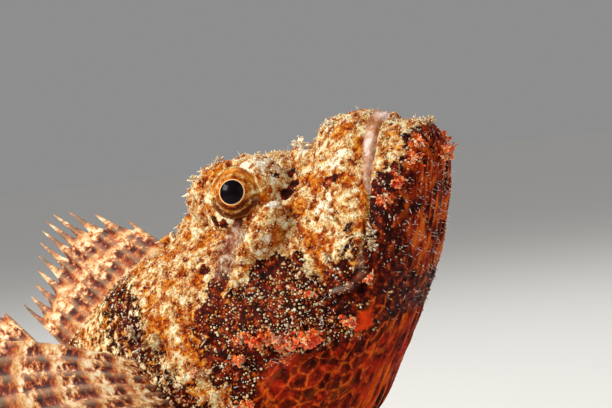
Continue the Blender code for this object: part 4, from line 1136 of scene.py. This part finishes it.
# Mesh of a fin: columns from ray to ray, and rows from root to tip
RAY_COLUMNS, RAY_ROWS = 6, 30

# How deep the roots of the fins on the midline are sunk in the skin
ROOT_SUNK = 4.0

# How far a fin's tips may reach below the floor before they are laid flat on it
BELOW_FLOOR = 0.6

# Fins of the midline: first and last root, number of rays, thickness of a ray and of the web, depth of the
# notches between ray tips, then the rays' lengths and their rake in degrees, both from front to back
MIDLINE_FINS = (
    ("dorsal_fin_spiny", -91, -162, 12, 2.4, 0.8, 0.34, (18, 33, 41, 42, 39, 35, 31, 27, 27),
     (14, 24, 29, 33, 36)),
    ("dorsal_fin_soft", -170, -207, 9, 2.0, 0.7, 0.06, (32, 36, 37, 34, 27), (42, 47, 56)),
    ("anal_fin", -172, -206, 8, 2.2, 0.8, 0.07, (14, 24, 33, 36, 31), (52, 60, 70)),
)

# Tail fin: rays, where its root line stands, half the line's height, half the angle that the rays open to,
# length of the middle ray, and how much shorter the outer rays are
TAIL_RAYS, TAIL_ROOT, TAIL_HALF_HEIGHT, TAIL_SPREAD = 13, (-255.0, -0.9), 12.0, 25
TAIL_RAY, TAIL_RAY_LESS = 72, 15

# Rays of the fins at the sides, and how far the tips of the pectoral rays sag, in lengths of their ray
PECTORAL_RAYS, PELVIC_RAYS = 17, 6
PECTORAL_DROOP = -0.16


def shared_out(numbers, places):
    """A row of numbers, smoothly read at places that are counted in numbers."""
    return spline(np.asarray(numbers, float)[:, None], places)[:, 0]


def fin(name, roots, directions, lengths, droop, thick, thin, notch, material, spiny=False):
    """A fin whose rays spread from its roots, each a rounded ridge on a thin membrane.

    Roots and directions are on the posed fish, in millimetres.
    """
    rows, columns = RAY_ROWS, (len(roots) - 1) * RAY_COLUMNS + 1
    spot = np.arange(columns) / RAY_COLUMNS
    root = spline(roots, spot)
    aim = unit(spline(directions, spot))
    length = shared_out(lengths, spot)
    between = np.abs(spot - np.round(spot)) * 2
    length = length * (1 - notch * np.sin(between * math.pi / 2) ** (0.7 if spiny else 1.4))
    share = np.linspace(0, 1, rows)
    run = share[:, None, None] * length[None, :, None]
    droop = np.asarray(droop, float)
    centres = root[None] + aim[None] * run + droop * (share**2)[:, None, None] * length[None, :, None]
    draw = np.random.default_rng(len(name))
    along, across = np.gradient(centres, axis=0), np.gradient(centres, axis=1)
    facing = np.cross(along, across)
    facing /= np.maximum(np.linalg.norm(facing, axis=2, keepdims=True), 1e-9)
    # The web hangs a little slack between the rays, and ripples along them
    slack = np.sin(spot * 2 * math.pi) * 0.35 * np.sin(between * math.pi)
    ripple = np.sin(share * 9 + draw.random() * 6)[:, None] * 0.35 + slack[None]
    centres = centres + facing * (ripple * share[:, None] * (between > 0.01))[..., None]
    ridge = np.cos(np.clip(between * 1.9, 0, 1) * math.pi / 2)
    half = thin / 2 + (thick - thin) / 2 * ridge[None] * (1 - 0.6 * share[:, None])
    half = half * (1 - 0.35 * (share[:, None] > 0.96))
    joints = 1 + 0.10 * np.sin(share * 2 * math.pi * 16)[:, None] * ridge[None] * (0 if spiny else 1)
    half = half * joints
    points = np.vstack([(centres + facing * half[..., None]).reshape(-1, 3),
                        (centres - facing * half[..., None]).reshape(-1, 3)])
    made = mesh_piece(name + "_membrane", in_metres(points), two_sided(rows, columns))
    face_out(made)
    grid = np.stack([np.broadcast_to(spot[None] * 4.0, (rows, columns)), run[..., 0],
                     np.broadcast_to(ridge[None], (rows, columns))], 2).reshape(-1, 3)
    store(made, "spread", np.vstack([grid, grid]))
    dressed(made, (name,), material)


def midline_rays(first, last, count, lengths, rake, above):
    """Roots, directions and lengths of a fin on the back or the belly."""
    x = np.linspace(first, last, count)
    column, source = (1, 0) if above else (3, 2)
    table = spline(STATIONS, np.linspace(0, TAIL_END, 400))
    order = np.argsort(table[:, source])
    z = np.interp(x, table[order, source], table[order, column])
    z += -ROOT_SUNK if above else ROOT_SUNK
    roots = np.stack([x, np.zeros(count), z], 1)
    lean = np.radians(shared_out(rake, np.linspace(0, len(rake) - 1, count)))
    directions = np.stack([-np.sin(lean), np.zeros(count), (1 if above else -1) * np.cos(lean)], 1)
    tall = shared_out(lengths, np.linspace(0, len(lengths) - 1, count)) + ROOT_SUNK
    return carried_rays(roots, directions * tall[:, None])


def carried_rays(roots, rays):
    """Roots, directions and lengths on the posed fish of rays of the straight one."""
    tips, placed = posed(roots + rays), posed(roots)
    return placed, tips - placed, np.linalg.norm(tips - placed, axis=1)


def down_to_floor(roots, directions, lengths, sag):
    """Ray lengths cut short, so that no tip reaches more than a little below the floor."""
    down = directions[:, 2] / np.linalg.norm(directions, axis=1) + sag
    most = np.where(down < -0.05, (roots[:, 2] + BELOW_FLOOR) / np.maximum(-down, 0.05), 1e3)
    return np.minimum(lengths, most)


def tail_fin(material):
    """The rounded tail fin."""
    spread = np.linspace(-1, 1, TAIL_RAYS)
    still = np.zeros(TAIL_RAYS)
    roots = np.stack([np.full(TAIL_RAYS, TAIL_ROOT[0]), still, TAIL_ROOT[1] + spread * TAIL_HALF_HEIGHT], 1)
    lean = np.radians(spread * TAIL_SPREAD)
    ways = np.stack([-np.cos(lean), still, np.sin(lean)], 1)
    lengths = TAIL_RAY - TAIL_RAY_LESS * spread**2
    fin("caudal_fin", *carried_rays(roots, ways * lengths[:, None]), (0, 0, 0), 2.2, 0.7, 0.04, material)


def pectoral_fin(side, material):
    """A broad fan behind the gill cover, whose lower rays rest on the floor."""
    share = np.linspace(0, 1, PECTORAL_RAYS)
    base = np.stack([-113 + 3 * share, 26.0 - 5.0 * share**2, -3 - 39 * share], 1)
    roots = posed(base * np.array([1, side, 1]))
    ways = np.stack([-0.95 + 1.65 * share**1.3, side * (0.42 + 0.55 * np.sin(math.pi * share) + 0.30 * share),
                     0.52 - 1.45 * share], 1)
    lengths = down_to_floor(roots, ways, 50 + 30 * np.sin(math.pi * (0.08 + 0.84 * share)), PECTORAL_DROOP)
    name = "pectoral_fin_left" if side > 0 else "pectoral_fin_right"
    fin(name, roots, ways, lengths, (0, side * 0.05, PECTORAL_DROOP), 2.5, 0.7, 0.05, material)


def pelvic_fin(side, material):
    """A fin under the breast, which props the shoulders up."""
    share = np.linspace(0, 1, PELVIC_RAYS)
    base = np.stack([-97 - 12 * share, 8.5 - 2 * share, np.full(PELVIC_RAYS, -52.0)], 1)
    roots = posed(base * np.array([1, side, 1]))
    ways = np.stack([0.05 - 0.95 * share, side * (0.62 - 0.06 * share), -1.0 + 0.22 * share], 1)
    lengths = down_to_floor(roots, ways, 60 + 4 * np.sin(math.pi * share), 0)
    name = "pelvic_fin_left" if side > 0 else "pelvic_fin_right"
    fin(name, roots, ways, lengths, (-0.05, 0, 0), 2.8, 1.2, 0.07, material)


def fins(material):
    """All eight fins."""
    for name, first, last, count, thick, thin, notch, lengths, rake in MIDLINE_FINS:
        rays = midline_rays(first, last, count, lengths, rake, name != "anal_fin")
        fin(name, *rays, (0, 0, 0), thick, thin, notch, material, name == "dorsal_fin_spiny")
    tail_fin(material)
    for side in (1, -1):
        pectoral_fin(side, material)
        pelvic_fin(side, material)


# Materials

# Patterns: size in millimetres, detail and roughness. In turn: blotches, speckles and grain of the skin, then
# blotches and flecks of the fins, streaks of the throat and the mottling of the eyeball
SKIN_PATTERNS = ((7.0, 4.0, 0.62), (2.7, 5.0, 0.66), (0.8, 2.0, 0.6))
FIN_PATTERNS = ((8.0, 4.0, 0.65), (2.0, 4.0, 0.7))
STREAK_SIZE, MOTTLE_SIZE = 2.4, 1.6

# Millimetres across a cell of the throat's net, and from band to band of the fins
NET_SIZE, BAND_SIZE = 4.2, 12.0

# Colours that the speckles run through, from their dark side to their light side
COOL_GROUND = ((0.35, "#541203"), (0.42, "#A04A10"), (0.49, "#CC9650"), (0.56, "#E0CF9C"), (0.66, "#F0EAD2"))
WARM_GROUND = ((0.35, "#400C03"), (0.43, "#862803"), (0.51, "#BA5A05"), (0.59, "#D08A22"), (0.68, "#E0C27C"))
DARK_GROUND = ((0.38, "#1A0301"), (0.49, "#3C0902"), (0.57, "#741B04"), (0.65, "#B4541A"))
BARE_SKIN = ((0.36, "#5E2A1C"), (0.47, "#88543E"), (0.58, "#B09280"), (0.70, "#D2C8BC"))
LIP_SKIN = ((0.38, "#A8683C"), (0.50, "#CFA084"), (0.62, "#E8D4C8"))
THROAT_NET = ((0.00, "#D0661A"), (0.06, "#A8400C"), (0.13, "#5C1003"), (0.26, "#230301"))
THROAT_STREAKS = ((0.37, "#1A0301"), (0.45, "#5A0F03"), (0.52, "#9A2A05"), (0.61, "#CE6014"))
FIN_BANDS = ((0.32, "#260A08"), (0.42, "#6A1E0A"), (0.50, "#B0501A"), (0.58, "#D8A25C"), (0.68, "#EEDFBE"))

# Shades that single papillae, threads and tassels have, from the rarest dark ones to the pale ones
PALE_SHADES = ((0.0, "#883406"), (0.22, "#C0701A"), (0.42, "#D6B466"), (0.66, "#E8DCB2"), (1.0, "#F9F6E4"))
OCHRE_SHADES = ((0.0, "#641A03"), (0.30, "#A23E05"), (0.60, "#C86E10"), (0.82, "#DCA44C"), (1.0, "#ECDAAA"))
WHITE_SHADES = ((0.0, "#6A2408"), (0.20, "#A8602A"), (0.38, "#C8A468"), (0.60, "#DCD0A4"), (1.0, "#F2EED4"))
BUFF_SHADES = ((0.0, "#7A2804"), (0.24, "#B8540C"), (0.48, "#D08A34"), (0.70, "#E0C080"), (1.0, "#F0E8C8"))
THREAD_SHADES = ((0.0, "#C8702E"), (0.15, "#E2C08E"), (0.4, "#F6EEDA"), (1.0, "#FFFFFF"))
RED_SHADES = ((0.0, "#B82806"), (0.3, "#E4440A"), (0.6, "#F46A12"), (1.0, "#F89838"))
CREAM_SHADES = ((0.0, "#C8924E"), (0.35, "#DFC594"), (0.7, "#F0E6CE"))

# Colours of the eye: rays of the iris, the ball outside it, and the band over its top, which is painted shade
# of the brow in orange-brown
IRIS_RAYS = ((0.36, "#5A1A03"), (0.45, "#98460A"), (0.54, "#BA6C1A"), (0.65, "#DEB468"))
OUTER_BALL = ((0.38, "#6A2408"), (0.45, "#A86420"), (0.52, "#C6A052"), (0.60, "#DED09A"))
PAINTED_BROW_SHADE = ((0.42, "#8A3A0A"), (0.52, "#C46A16"), (0.64, "#DE9A40"))

# Dark arcs along the lower half of the eye, the innermost, just below the pupil, painted shade and the outer
# two markings: distance from its middle, and half the width
DARK_ARCS_AND_PAINTED_SHADE = ((5.3, 0.9), (7.4, 1.0), (9.1, 0.9))

# Halo, bright rim and pupil: where each begins and is full, measured from the pupil's edge, and its colour
PUPIL_RINGS = ((0.6, 0.3, "#D2601C"), (0.34, 0.22, "#F0C890"), (0.1, -0.1, "#0B0509"))


def linear(colour):
    """An sRGB hex colour as linear red, green, blue and alpha."""
    parts = [int(colour[i:i + 2], 16) / 255 for i in (1, 3, 5)]
    return (*[p / 12.92 if p <= 0.04045 else ((p + 0.055) / 1.055) ** 2.4 for p in parts], 1.0)


def fill(tree, node, inputs):
    """Sets a node's inputs by socket. A node given as a value stands for its first output in use."""
    for key, value in dict(inputs).items():
        if isinstance(value, bpy.types.Node):
            value = next(output for output in value.outputs if output.enabled)
        if isinstance(value, bpy.types.NodeSocket):
            tree.links.new(value, node.inputs[key])
        else:
            node.inputs[key].default_value = value


def add(tree, kind, inputs=(), stops=(), **settings):
    """Adds a node with its settings, its inputs, and the stops of its colour ramp.

    A Math node's numbers are its inputs 0, 1 and 2. A Map Range reads from 1 to 2 and gives 3 to 4, which are
    0 and 1 where they aren't given. A Mix of colours has its share at 0 and its two colours at 6 and 7.
    """
    made = tree.nodes.new("ShaderNode" + kind)
    for key, value in settings.items():
        setattr(made, key, value)
    fill(tree, made, inputs)
    for index, (place, colour) in enumerate(stops):
        bands = made.color_ramp.elements
        band = bands[index] if index < 2 else bands.new(place)
        band.position, band.color = place, linear(colour)
    return made


def blank(name):
    """A new material with only its shader: the material, its nodes and the shader."""
    made = bpy.data.materials.new(name)
    made.use_nodes = True
    return made, made.node_tree, made.node_tree.nodes["Principled BSDF"]


def markings(tree):
    """Colour of the living skin, the height of its grain, and the share of ochre ground.

    All of it is worked out from the places and zones stored on the mesh.
    """
    fish = add(tree, "Attribute", attribute_name="fish").outputs["Vector"]
    tone, tint, depth = (
        add(tree, "SeparateXYZ", {0: add(tree, "Attribute", attribute_name=name).outputs["Vector"]}).outputs
        for name in ("tone", "tint", "depth"))
    blotch, speckle, grain = (
        add(tree, "TexNoise", {"Vector": fish, "Scale": 1 / size, "Detail": detail, "Roughness": rough})
        for size, detail, rough in SKIN_PATTERNS)
    cool = add(tree, "ValToRGB", {0: speckle}, COOL_GROUND)
    warm = add(tree, "ValToRGB", {0: speckle}, WARM_GROUND)
    ochre = add(tree, "Math", {0: tint[2], 1: 0.15, 2: blotch}, operation="MULTIPLY_ADD")
    ochre = add(tree, "MapRange", {0: ochre, 1: 0.49, 2: 0.57})
    ground = add(tree, "Mix", {0: ochre, 6: cool, 7: warm}, data_type="RGBA")
    throat = net_of_the_throat(tree, fish, blotch, speckle, depth)
    below = add(tree, "Math", {0: tone[2], 1: depth[0]}, operation="MAXIMUM")
    # Pale ground, white patches and throat lie over the dark skin, each with an edge that the speckles tear
    wander = add(tree, "Math", {0: speckle, 1: 2.2, 2: -1.1}, operation="MULTIPLY_ADD")
    colour = add(tree, "ValToRGB", {0: speckle}, DARK_GROUND)
    white = linear("#EDE6D2")
    for share, most, over in ((tone[0], 1.0, ground), (depth[2], 0.9, white), (below, 1.0, throat)):
        share = add(tree, "Math", {0: share, 1: wander}, operation="ADD")
        share = add(tree, "MapRange", {0: share, 1: 0.40, 2: 0.60, 4: most})
        colour = add(tree, "Mix", {0: share, 6: colour, 7: over}, data_type="RGBA")
    smooth = add(tree, "Math", {0: tint[0], 1: 0.85}, operation="MULTIPLY")
    bare = add(tree, "ValToRGB", {0: speckle}, BARE_SKIN)
    lip = add(tree, "ValToRGB", {0: blotch}, LIP_SKIN)
    colour = add(tree, "Mix", {0: smooth, 6: colour, 7: bare}, data_type="RGBA")
    colour = add(tree, "Mix", {0: tint[1], 6: colour, 7: lip}, data_type="RGBA")
    height = add(tree, "Math", {0: grain, 1: 0.4, 2: speckle}, operation="MULTIPLY_ADD")
    return colour, height, ochre


def net_of_the_throat(tree, fish, blotch, speckle, depth):
    """Orange lines round dark maroon cells, drawn out to streaks in the folds of chin and throat."""
    place = fish
    for share, pushed in ((0.30, blotch), (0.10, speckle)):
        place = add(tree, "Mix", {0: share, 6: place, 7: pushed.outputs["Color"]}, data_type="RGBA",
                    blend_type="LINEAR_LIGHT")
    longer = add(tree, "VectorMath", {0: place, 1: (0.66, 1.0, 1.0)}, operation="MULTIPLY")
    net = add(tree, "TexVoronoi", {"Vector": longer, "Scale": 1 / NET_SIZE}, feature="DISTANCE_TO_EDGE")
    gaps = add(tree, "MapRange", {0: speckle, 1: 0.40, 2: 0.54, 3: 0.12, 4: 0.0})
    apart = add(tree, "Math", {0: net, 1: gaps}, operation="ADD")
    lines = add(tree, "ValToRGB", {0: apart}, THROAT_NET)
    drawn_out = add(tree, "VectorMath", {0: fish, 1: (0.15, 1.0, 0.5)}, operation="MULTIPLY")
    streak = add(tree, "TexNoise", {"Vector": drawn_out, "Scale": 1 / STREAK_SIZE, "Detail": 4.0,
                                    "Roughness": 0.6})
    streaks = add(tree, "ValToRGB", {0: streak}, THROAT_STREAKS)
    share = add(tree, "MapRange", {0: depth[0], 3: 0.18})
    colour = add(tree, "Mix", {0: share, 6: lines, 7: streaks}, data_type="RGBA")
    # A deep red blush, and a bright flush where the blush is strongest
    blush = add(tree, "MapRange", {0: blotch, 1: 0.48, 2: 0.62, 4: 0.65})
    blush = add(tree, "Math", {0: blush, 1: depth[1]}, operation="MULTIPLY")
    colour = add(tree, "Mix", {0: blush, 6: colour, 7: linear("#A81E08")}, data_type="RGBA")
    flush = add(tree, "Math", {0: speckle, 1: 1.6, 2: depth[1]}, operation="MULTIPLY_ADD")
    flush = add(tree, "MapRange", {0: flush, 1: 1.85, 2: 2.15, 4: 0.75})
    return add(tree, "Mix", {0: flush, 6: colour, 7: linear("#E03A0C")}, data_type="RGBA")


def living_skin():
    """Living fish skin under a film of slime, fine-grained: damp, softly glossy, a little translucent."""
    made, tree, surface = blank("living_fish_skin")
    colour, height, _ = markings(tree)
    bump = add(tree, "Bump", {"Height": height, "Strength": 0.9, "Distance": 0.0008})
    fill(tree, surface, {
        "Base Color": colour, "Normal": bump, "Roughness": 0.5, "IOR": 1.4, "Specular IOR Level": 0.08,
        "Subsurface Weight": 0.06, "Subsurface Radius": (0.0016, 0.0006, 0.0003), "Subsurface Scale": 1.0})
    return made


def granule_skin(name, shades, in_ochre, own_share):
    """Papillae of the same skin: small damp domes, each with a shade of its own over the ground's colour."""
    made, tree, surface = blank(name)
    colour, _, ochre = markings(tree)
    shade = add(tree, "Attribute", attribute_name="shade").outputs["Fac"]
    own = add(tree, "ValToRGB", {0: shade}, shades)
    warmer = add(tree, "ValToRGB", {0: shade}, in_ochre)
    own = add(tree, "Mix", {0: ochre, 6: own, 7: warmer}, data_type="RGBA")
    tip = add(tree, "Attribute", attribute_name="tip").outputs["Fac"]
    share = add(tree, "MapRange", {0: tip, 1: 0.0, 2: 0.5, 3: own_share * 0.4, 4: own_share})
    colour = add(tree, "Mix", {0: share, 6: colour, 7: own}, data_type="RGBA")
    fill(tree, surface, {"Base Color": colour, "Roughness": 0.45, "IOR": 1.4, "Specular IOR Level": 0.18})
    return made


def spine_skin():
    """Bone of the head spines under thin skin: skin-coloured at the root, ivory at the worn tip."""
    made, tree, surface = blank("skin_over_bone")
    colour, _, _ = markings(tree)
    tip = add(tree, "Attribute", attribute_name="tip").outputs["Fac"]
    share = add(tree, "MapRange", {0: tip, 1: 0.3, 2: 0.8, 3: 0.15, 4: 0.9})
    colour = add(tree, "Mix", {0: share, 6: colour, 7: linear("#EFE2C4")}, data_type="RGBA")
    fill(tree, surface, {"Base Color": colour, "Roughness": 0.4, "IOR": 1.5})
    return made


def cirrus_skin():
    """Thin threads of skin: nearly white, darker at the root, and damp."""
    made, tree, surface = blank("skin_threads")
    colour, _, _ = markings(tree)
    tip = add(tree, "Attribute", attribute_name="tip").outputs["Fac"]
    shade = add(tree, "Attribute", attribute_name="shade").outputs["Fac"]
    own = add(tree, "ValToRGB", {0: shade}, THREAD_SHADES)
    share = add(tree, "MapRange", {0: tip, 1: 0.1, 2: 0.65, 3: 0.15, 4: 0.95})
    colour = add(tree, "Mix", {0: share, 6: colour, 7: own}, data_type="RGBA")
    fill(tree, surface, {"Base Color": colour, "Roughness": 0.45, "IOR": 1.4})
    return made


def tassel_skin():
    """Fleshy skin tassels: thin, damp and glowing orange-red, with cream tips."""
    made, tree, surface = blank("tassel_flesh")
    colour, _, _ = markings(tree)
    tip, redness, shade = (add(tree, "Attribute", attribute_name=name).outputs["Fac"]
                           for name in ("tip", "red", "shade"))
    red = add(tree, "ValToRGB", {0: shade}, RED_SHADES)
    cream = add(tree, "ValToRGB", {0: shade}, CREAM_SHADES)
    colour = add(tree, "Mix", {0: 0.65, 6: colour, 7: cream}, data_type="RGBA")
    flushed = add(tree, "MapRange", {0: redness, 1: 0.1, 2: 0.6})
    colour = add(tree, "Mix", {0: flushed, 6: colour, 7: red}, data_type="RGBA")
    ends = add(tree, "Math", {0: shade, 1: 0.3, 2: tip}, operation="MULTIPLY_ADD")
    ends = add(tree, "MapRange", {0: ends, 1: 1.00, 2: 1.26, 4: 0.8})
    colour = add(tree, "Mix", {0: ends, 6: colour, 7: linear("#F8D8A0")}, data_type="RGBA")
    fill(tree, surface, {"Base Color": colour, "Roughness": 0.4, "IOR": 1.4})
    return made


def fin_skin():
    """Fin rays in a thin skin membrane: banded and mottled, the rays paler than the web."""
    made, tree, surface = blank("fin_membrane")
    spread = add(tree, "Attribute", attribute_name="spread").outputs["Vector"]
    parts = add(tree, "SeparateXYZ", {0: spread}).outputs
    blotch, fleck = (
        add(tree, "TexNoise", {"Vector": spread, "Scale": 1 / size, "Detail": detail, "Roughness": rough})
        for size, detail, rough in FIN_PATTERNS)
    # Bands across the rays, broken by the blotches
    run = add(tree, "Math", {0: blotch, 1: 22.0, 2: parts[1]}, operation="MULTIPLY_ADD")
    wave = add(tree, "Math", {0: run, 1: 2 * math.pi / BAND_SIZE}, operation="MULTIPLY")
    wave = add(tree, "Math", {0: wave}, operation="SINE")
    wave = add(tree, "Math", {0: wave, 1: 0.10, 2: fleck}, operation="MULTIPLY_ADD")
    colour = add(tree, "ValToRGB", {0: wave}, FIN_BANDS)
    rays = add(tree, "Math", {0: parts[2], 1: 0.28}, operation="MULTIPLY")
    colour = add(tree, "Mix", {0: rays, 6: colour, 7: linear("#E4BE88")}, data_type="RGBA")
    bump = add(tree, "Bump", {"Height": fleck, "Strength": 0.6, "Distance": 0.0005})
    fill(tree, surface, {
        "Base Color": colour, "Normal": bump, "Roughness": 0.45, "IOR": 1.4, "Subsurface Weight": 0.1,
        "Subsurface Radius": (0.002, 0.0008, 0.0004), "Subsurface Scale": 1.0})
    return made


def eye_surface():
    """A living fish eye behind its wet cornea: near-black pupil, bright rim, ochre iris, patterned ball, with
    painted shade of the brow over its top and on its lower half.
    """
    made, tree, surface = blank("wet_eye")
    look = add(tree, "Attribute", attribute_name="look").outputs["Vector"]
    ahead = add(tree, "VectorMath", {0: look, 1: (0.71, -0.70, 0.0)}, operation="DOT_PRODUCT")
    above = add(tree, "VectorMath", {0: look, 1: (0.70, 0.71, 0.0)}, operation="DOT_PRODUCT")
    flat = add(tree, "CombineXYZ", {0: ahead, 1: above})
    across = add(tree, "VectorMath", {0: flat}, operation="LENGTH")
    turn = add(tree, "Math", {0: above, 1: ahead}, operation="ARCTAN2")
    polar = add(tree, "CombineXYZ", {0: across, 1: turn})
    radial = add(tree, "VectorMath", {0: polar, 1: (0.5, 2.6, 1.0)}, operation="MULTIPLY")
    rays = add(tree, "TexNoise", {"Vector": radial, "Scale": 1.0, "Detail": 4.0, "Roughness": 0.7})
    around = add(tree, "VectorMath", {0: polar, 1: (0.9, 1.5, 1.0)}, operation="MULTIPLY")
    arcs = add(tree, "TexNoise", {"Vector": around, "Scale": 1.0, "Detail": 3.0, "Roughness": 0.6})
    mottle = add(tree, "TexNoise", {"Vector": look, "Scale": 1 / MOTTLE_SIZE, "Detail": 4.0,
                                    "Roughness": 0.7})
    # The iris, and the paler ball outside its wavy rim
    iris = add(tree, "ValToRGB", {0: rays}, IRIS_RAYS)
    outer = add(tree, "ValToRGB", {0: mottle}, OUTER_BALL)
    wobble = add(tree, "Math", {0: mottle, 1: 3.0, 2: across}, operation="MULTIPLY_ADD")
    rim = add(tree, "MapRange", {0: wobble, 1: IRIS_RADIUS + 0.9, 2: IRIS_RADIUS + 1.7})
    colour = add(tree, "Mix", {0: rim, 6: iris, 7: outer}, data_type="RGBA")
    # An orange band over the top of the ball: painted shade of the brow, stronger higher up
    band = add(tree, "Math", {0: wobble, 1: -(IRIS_RADIUS + 2.6)}, operation="ADD")
    band = add(tree, "Math", {0: band}, operation="ABSOLUTE")
    band = add(tree, "MapRange", {0: band, 1: 1.1, 2: 0.6})
    high = add(tree, "MapRange", {0: above, 1: -0.5, 2: 2.5})
    band = add(tree, "Math", {0: band, 1: high}, operation="MULTIPLY")
    orange = add(tree, "ValToRGB", {0: arcs}, PAINTED_BROW_SHADE)
    colour = add(tree, "Mix", {0: band, 6: colour, 7: orange}, data_type="RGBA")
    # Painted shade on its lower half, in brown, with torn dark arcs that crowd there
    low = add(tree, "MapRange", {0: above, 1: -0.5, 2: -3.5})
    painted_lower_shade = add(tree, "Math", {0: low, 1: 0.6}, operation="MULTIPLY")
    colour = add(tree, "Mix", {0: painted_lower_shade, 6: colour, 7: linear("#A25A12")}, data_type="RGBA")
    dark = None
    for middle, width in DARK_ARCS_AND_PAINTED_SHADE:
        arc = add(tree, "MapRange", {0: mottle, 3: middle - 1.4, 4: middle + 1.4})
        arc = add(tree, "Math", {0: across, 1: arc}, operation="SUBTRACT")
        arc = add(tree, "Math", {0: arc}, operation="ABSOLUTE")
        arc = add(tree, "MapRange", {0: arc, 1: width, 2: width * 0.6})
        dark = add(tree, "Math", {0: dark, 1: arc}, operation="MAXIMUM") if dark else arc
    torn = add(tree, "MapRange", {0: arcs, 1: 0.35, 2: 0.42})
    low = add(tree, "Math", {0: low, 1: torn}, operation="MULTIPLY")
    dark = add(tree, "Math", {0: dark, 1: low}, operation="MULTIPLY")
    dark = add(tree, "Math", {0: dark, 1: 0.92}, operation="MULTIPLY")
    colour = add(tree, "Mix", {0: dark, 6: colour, 7: linear("#460A03")}, data_type="RGBA")
    for begins, full, paint in PUPIL_RINGS:
        share = add(tree, "MapRange", {0: across, 1: PUPIL_RADIUS + begins, 2: PUPIL_RADIUS + full})
        colour = add(tree, "Mix", {0: share, 6: colour, 7: linear(paint)}, data_type="RGBA")
    fill(tree, surface, {"Base Color": colour, "Roughness": 0.4, "IOR": 1.2, "Specular IOR Level": 0.08,
                         "Coat Weight": 0.10, "Coat Roughness": 0.05})
    return made


# Stage: floor, light and camera

# The camera: where it stands round the fish, how it is tilted, its distance from the pupil in metres, the
# scale of its picture there, and the pupil's place in the picture
CAMERA_AZIMUTH, CAMERA_ELEVATION, CAMERA_ROLL = math.radians(25), math.radians(2), math.radians(5.997)
CAMERA_DISTANCE = 0.55
PIXELS_PER_METRE = 2999.31
IMAGE_SIZE = (612, 408)
PUPIL_IN_IMAGE = (231, 192)
SENSOR = 36.0

# Radius of the floor, in metres
FLOOR_RADIUS = 14

# Soft lamps: name, place in metres, size, power and colour; all are aimed at the middle of the fish
LAMPS = (
    ("key", (-0.46, -0.66, 0.62), 0.35, 10.8, "#FFFBF4"),
    ("fill", (0.9, -0.5, 0.40), 0.8, 1.8, "#FFFFFF"),
    ("top", (0.0, 0.5, 0.95), 0.8, 4.4, "#FFFFFF"),
)
LAMPS_AIM = (0.03, 0.0, 0.09)


def camera():
    """The camera, set so that the eye and the lip fall where they do in the photograph."""
    right = Vector((math.cos(CAMERA_AZIMUTH), math.sin(CAMERA_AZIMUTH), 0))
    back = Vector((math.sin(CAMERA_AZIMUTH) * math.cos(CAMERA_ELEVATION),
                   -math.cos(CAMERA_AZIMUTH) * math.cos(CAMERA_ELEVATION), math.sin(CAMERA_ELEVATION)))
    up = back.cross(right)
    across = right * math.cos(CAMERA_ROLL) - up * math.sin(CAMERA_ROLL)
    rise = up * math.cos(CAMERA_ROLL) + right * math.sin(CAMERA_ROLL)
    focal = PIXELS_PER_METRE * CAMERA_DISTANCE
    pupil = mirrored(EYE, -1) + mirrored(EYE_AIM, -1) * EYE_RADIUS
    place = Vector(in_metres(posed(pupil))[0]) + back * CAMERA_DISTANCE
    place -= across * ((PUPIL_IN_IMAGE[0] - IMAGE_SIZE[0] / 2) / focal * CAMERA_DISTANCE)
    place += rise * ((PUPIL_IN_IMAGE[1] - IMAGE_SIZE[1] / 2) / focal * CAMERA_DISTANCE)
    bpy.ops.object.camera_add()
    made = bpy.context.object
    made.matrix_world = Matrix(((across.x, rise.x, back.x, place.x), (across.y, rise.y, back.y, place.y),
                                (across.z, rise.z, back.z, place.z), (0, 0, 0, 1)))
    made.data.sensor_width = SENSOR
    made.data.lens = focal / IMAGE_SIZE[0] * SENSOR
    bpy.context.scene.camera = made


def floor():
    """A plain pale floor, wide enough to meet the even background far behind the fish."""
    bpy.ops.mesh.primitive_circle_add(vertices=96, radius=FLOOR_RADIUS, fill_type="NGON", location=(0, 0, 0))
    made = bpy.context.object
    made.name = "floor"
    paint, _, surface = blank("pale_matt_floor")
    surface.inputs["Base Color"].default_value = linear("#EFEDE9")
    surface.inputs["Roughness"].default_value = 0.7
    made.data.materials.append(paint)


def lamp(name, place, size, power, colour):
    """A soft square lamp."""
    bpy.ops.object.light_add(type="AREA", location=place)
    made = bpy.context.object
    made.name = name
    made.data.size = size
    made.data.energy = power
    made.data.color = linear(colour)[:3]
    made.rotation_mode = "QUATERNION"
    made.rotation_quaternion = (Vector(LAMPS_AIM) - Vector(place)).to_track_quat("-Z", "Y")


def lights():
    """Plain soft studio light, stronger from the camera's upper left."""
    bpy.context.scene.view_settings.view_transform = "Standard"
    for row in LAMPS:
        lamp(*row)
    world = bpy.data.worlds.new("studio")
    bpy.context.scene.world = world
    world.use_nodes = True
    world.node_tree.nodes["Background"].inputs["Color"].default_value = linear("#D2D2D2")
    world.node_tree.nodes["Background"].inputs["Strength"].default_value = 0.42
    # Faint even light from straight above, which makes the far floor as bright as the background
    bpy.ops.object.light_add(type="SUN", location=(0, 0, 3))
    sky = bpy.context.object
    sky.name = "sky"
    sky.data.energy = 0.16
    sky.data.angle = math.radians(120)


def main():
    """Builds the skin, all that grows on it, the eyes and the fins, and then the stage."""
    skin = fish_skin()
    ground = Ground(skin)
    settled(skin, SKIN_STANDS_FOR, living_skin())
    mixed_shades = granule_skin("papillae_of_fish_skin", PALE_SHADES, OCHRE_SHADES, 0.6)
    white = granule_skin("white_papillae_of_the_cheek", WHITE_SHADES, BUFF_SHADES, 0.92)
    coat_of_granules(ground, white, mixed_shades)
    cirri(ground, cirrus_skin())
    tassels(ground, tassel_skin())
    spines(spine_skin())
    wet = eye_surface()
    eye(1, wet)
    eye(-1, wet)
    fins(fin_skin())
    camera()
    floor()
    lights()


main()
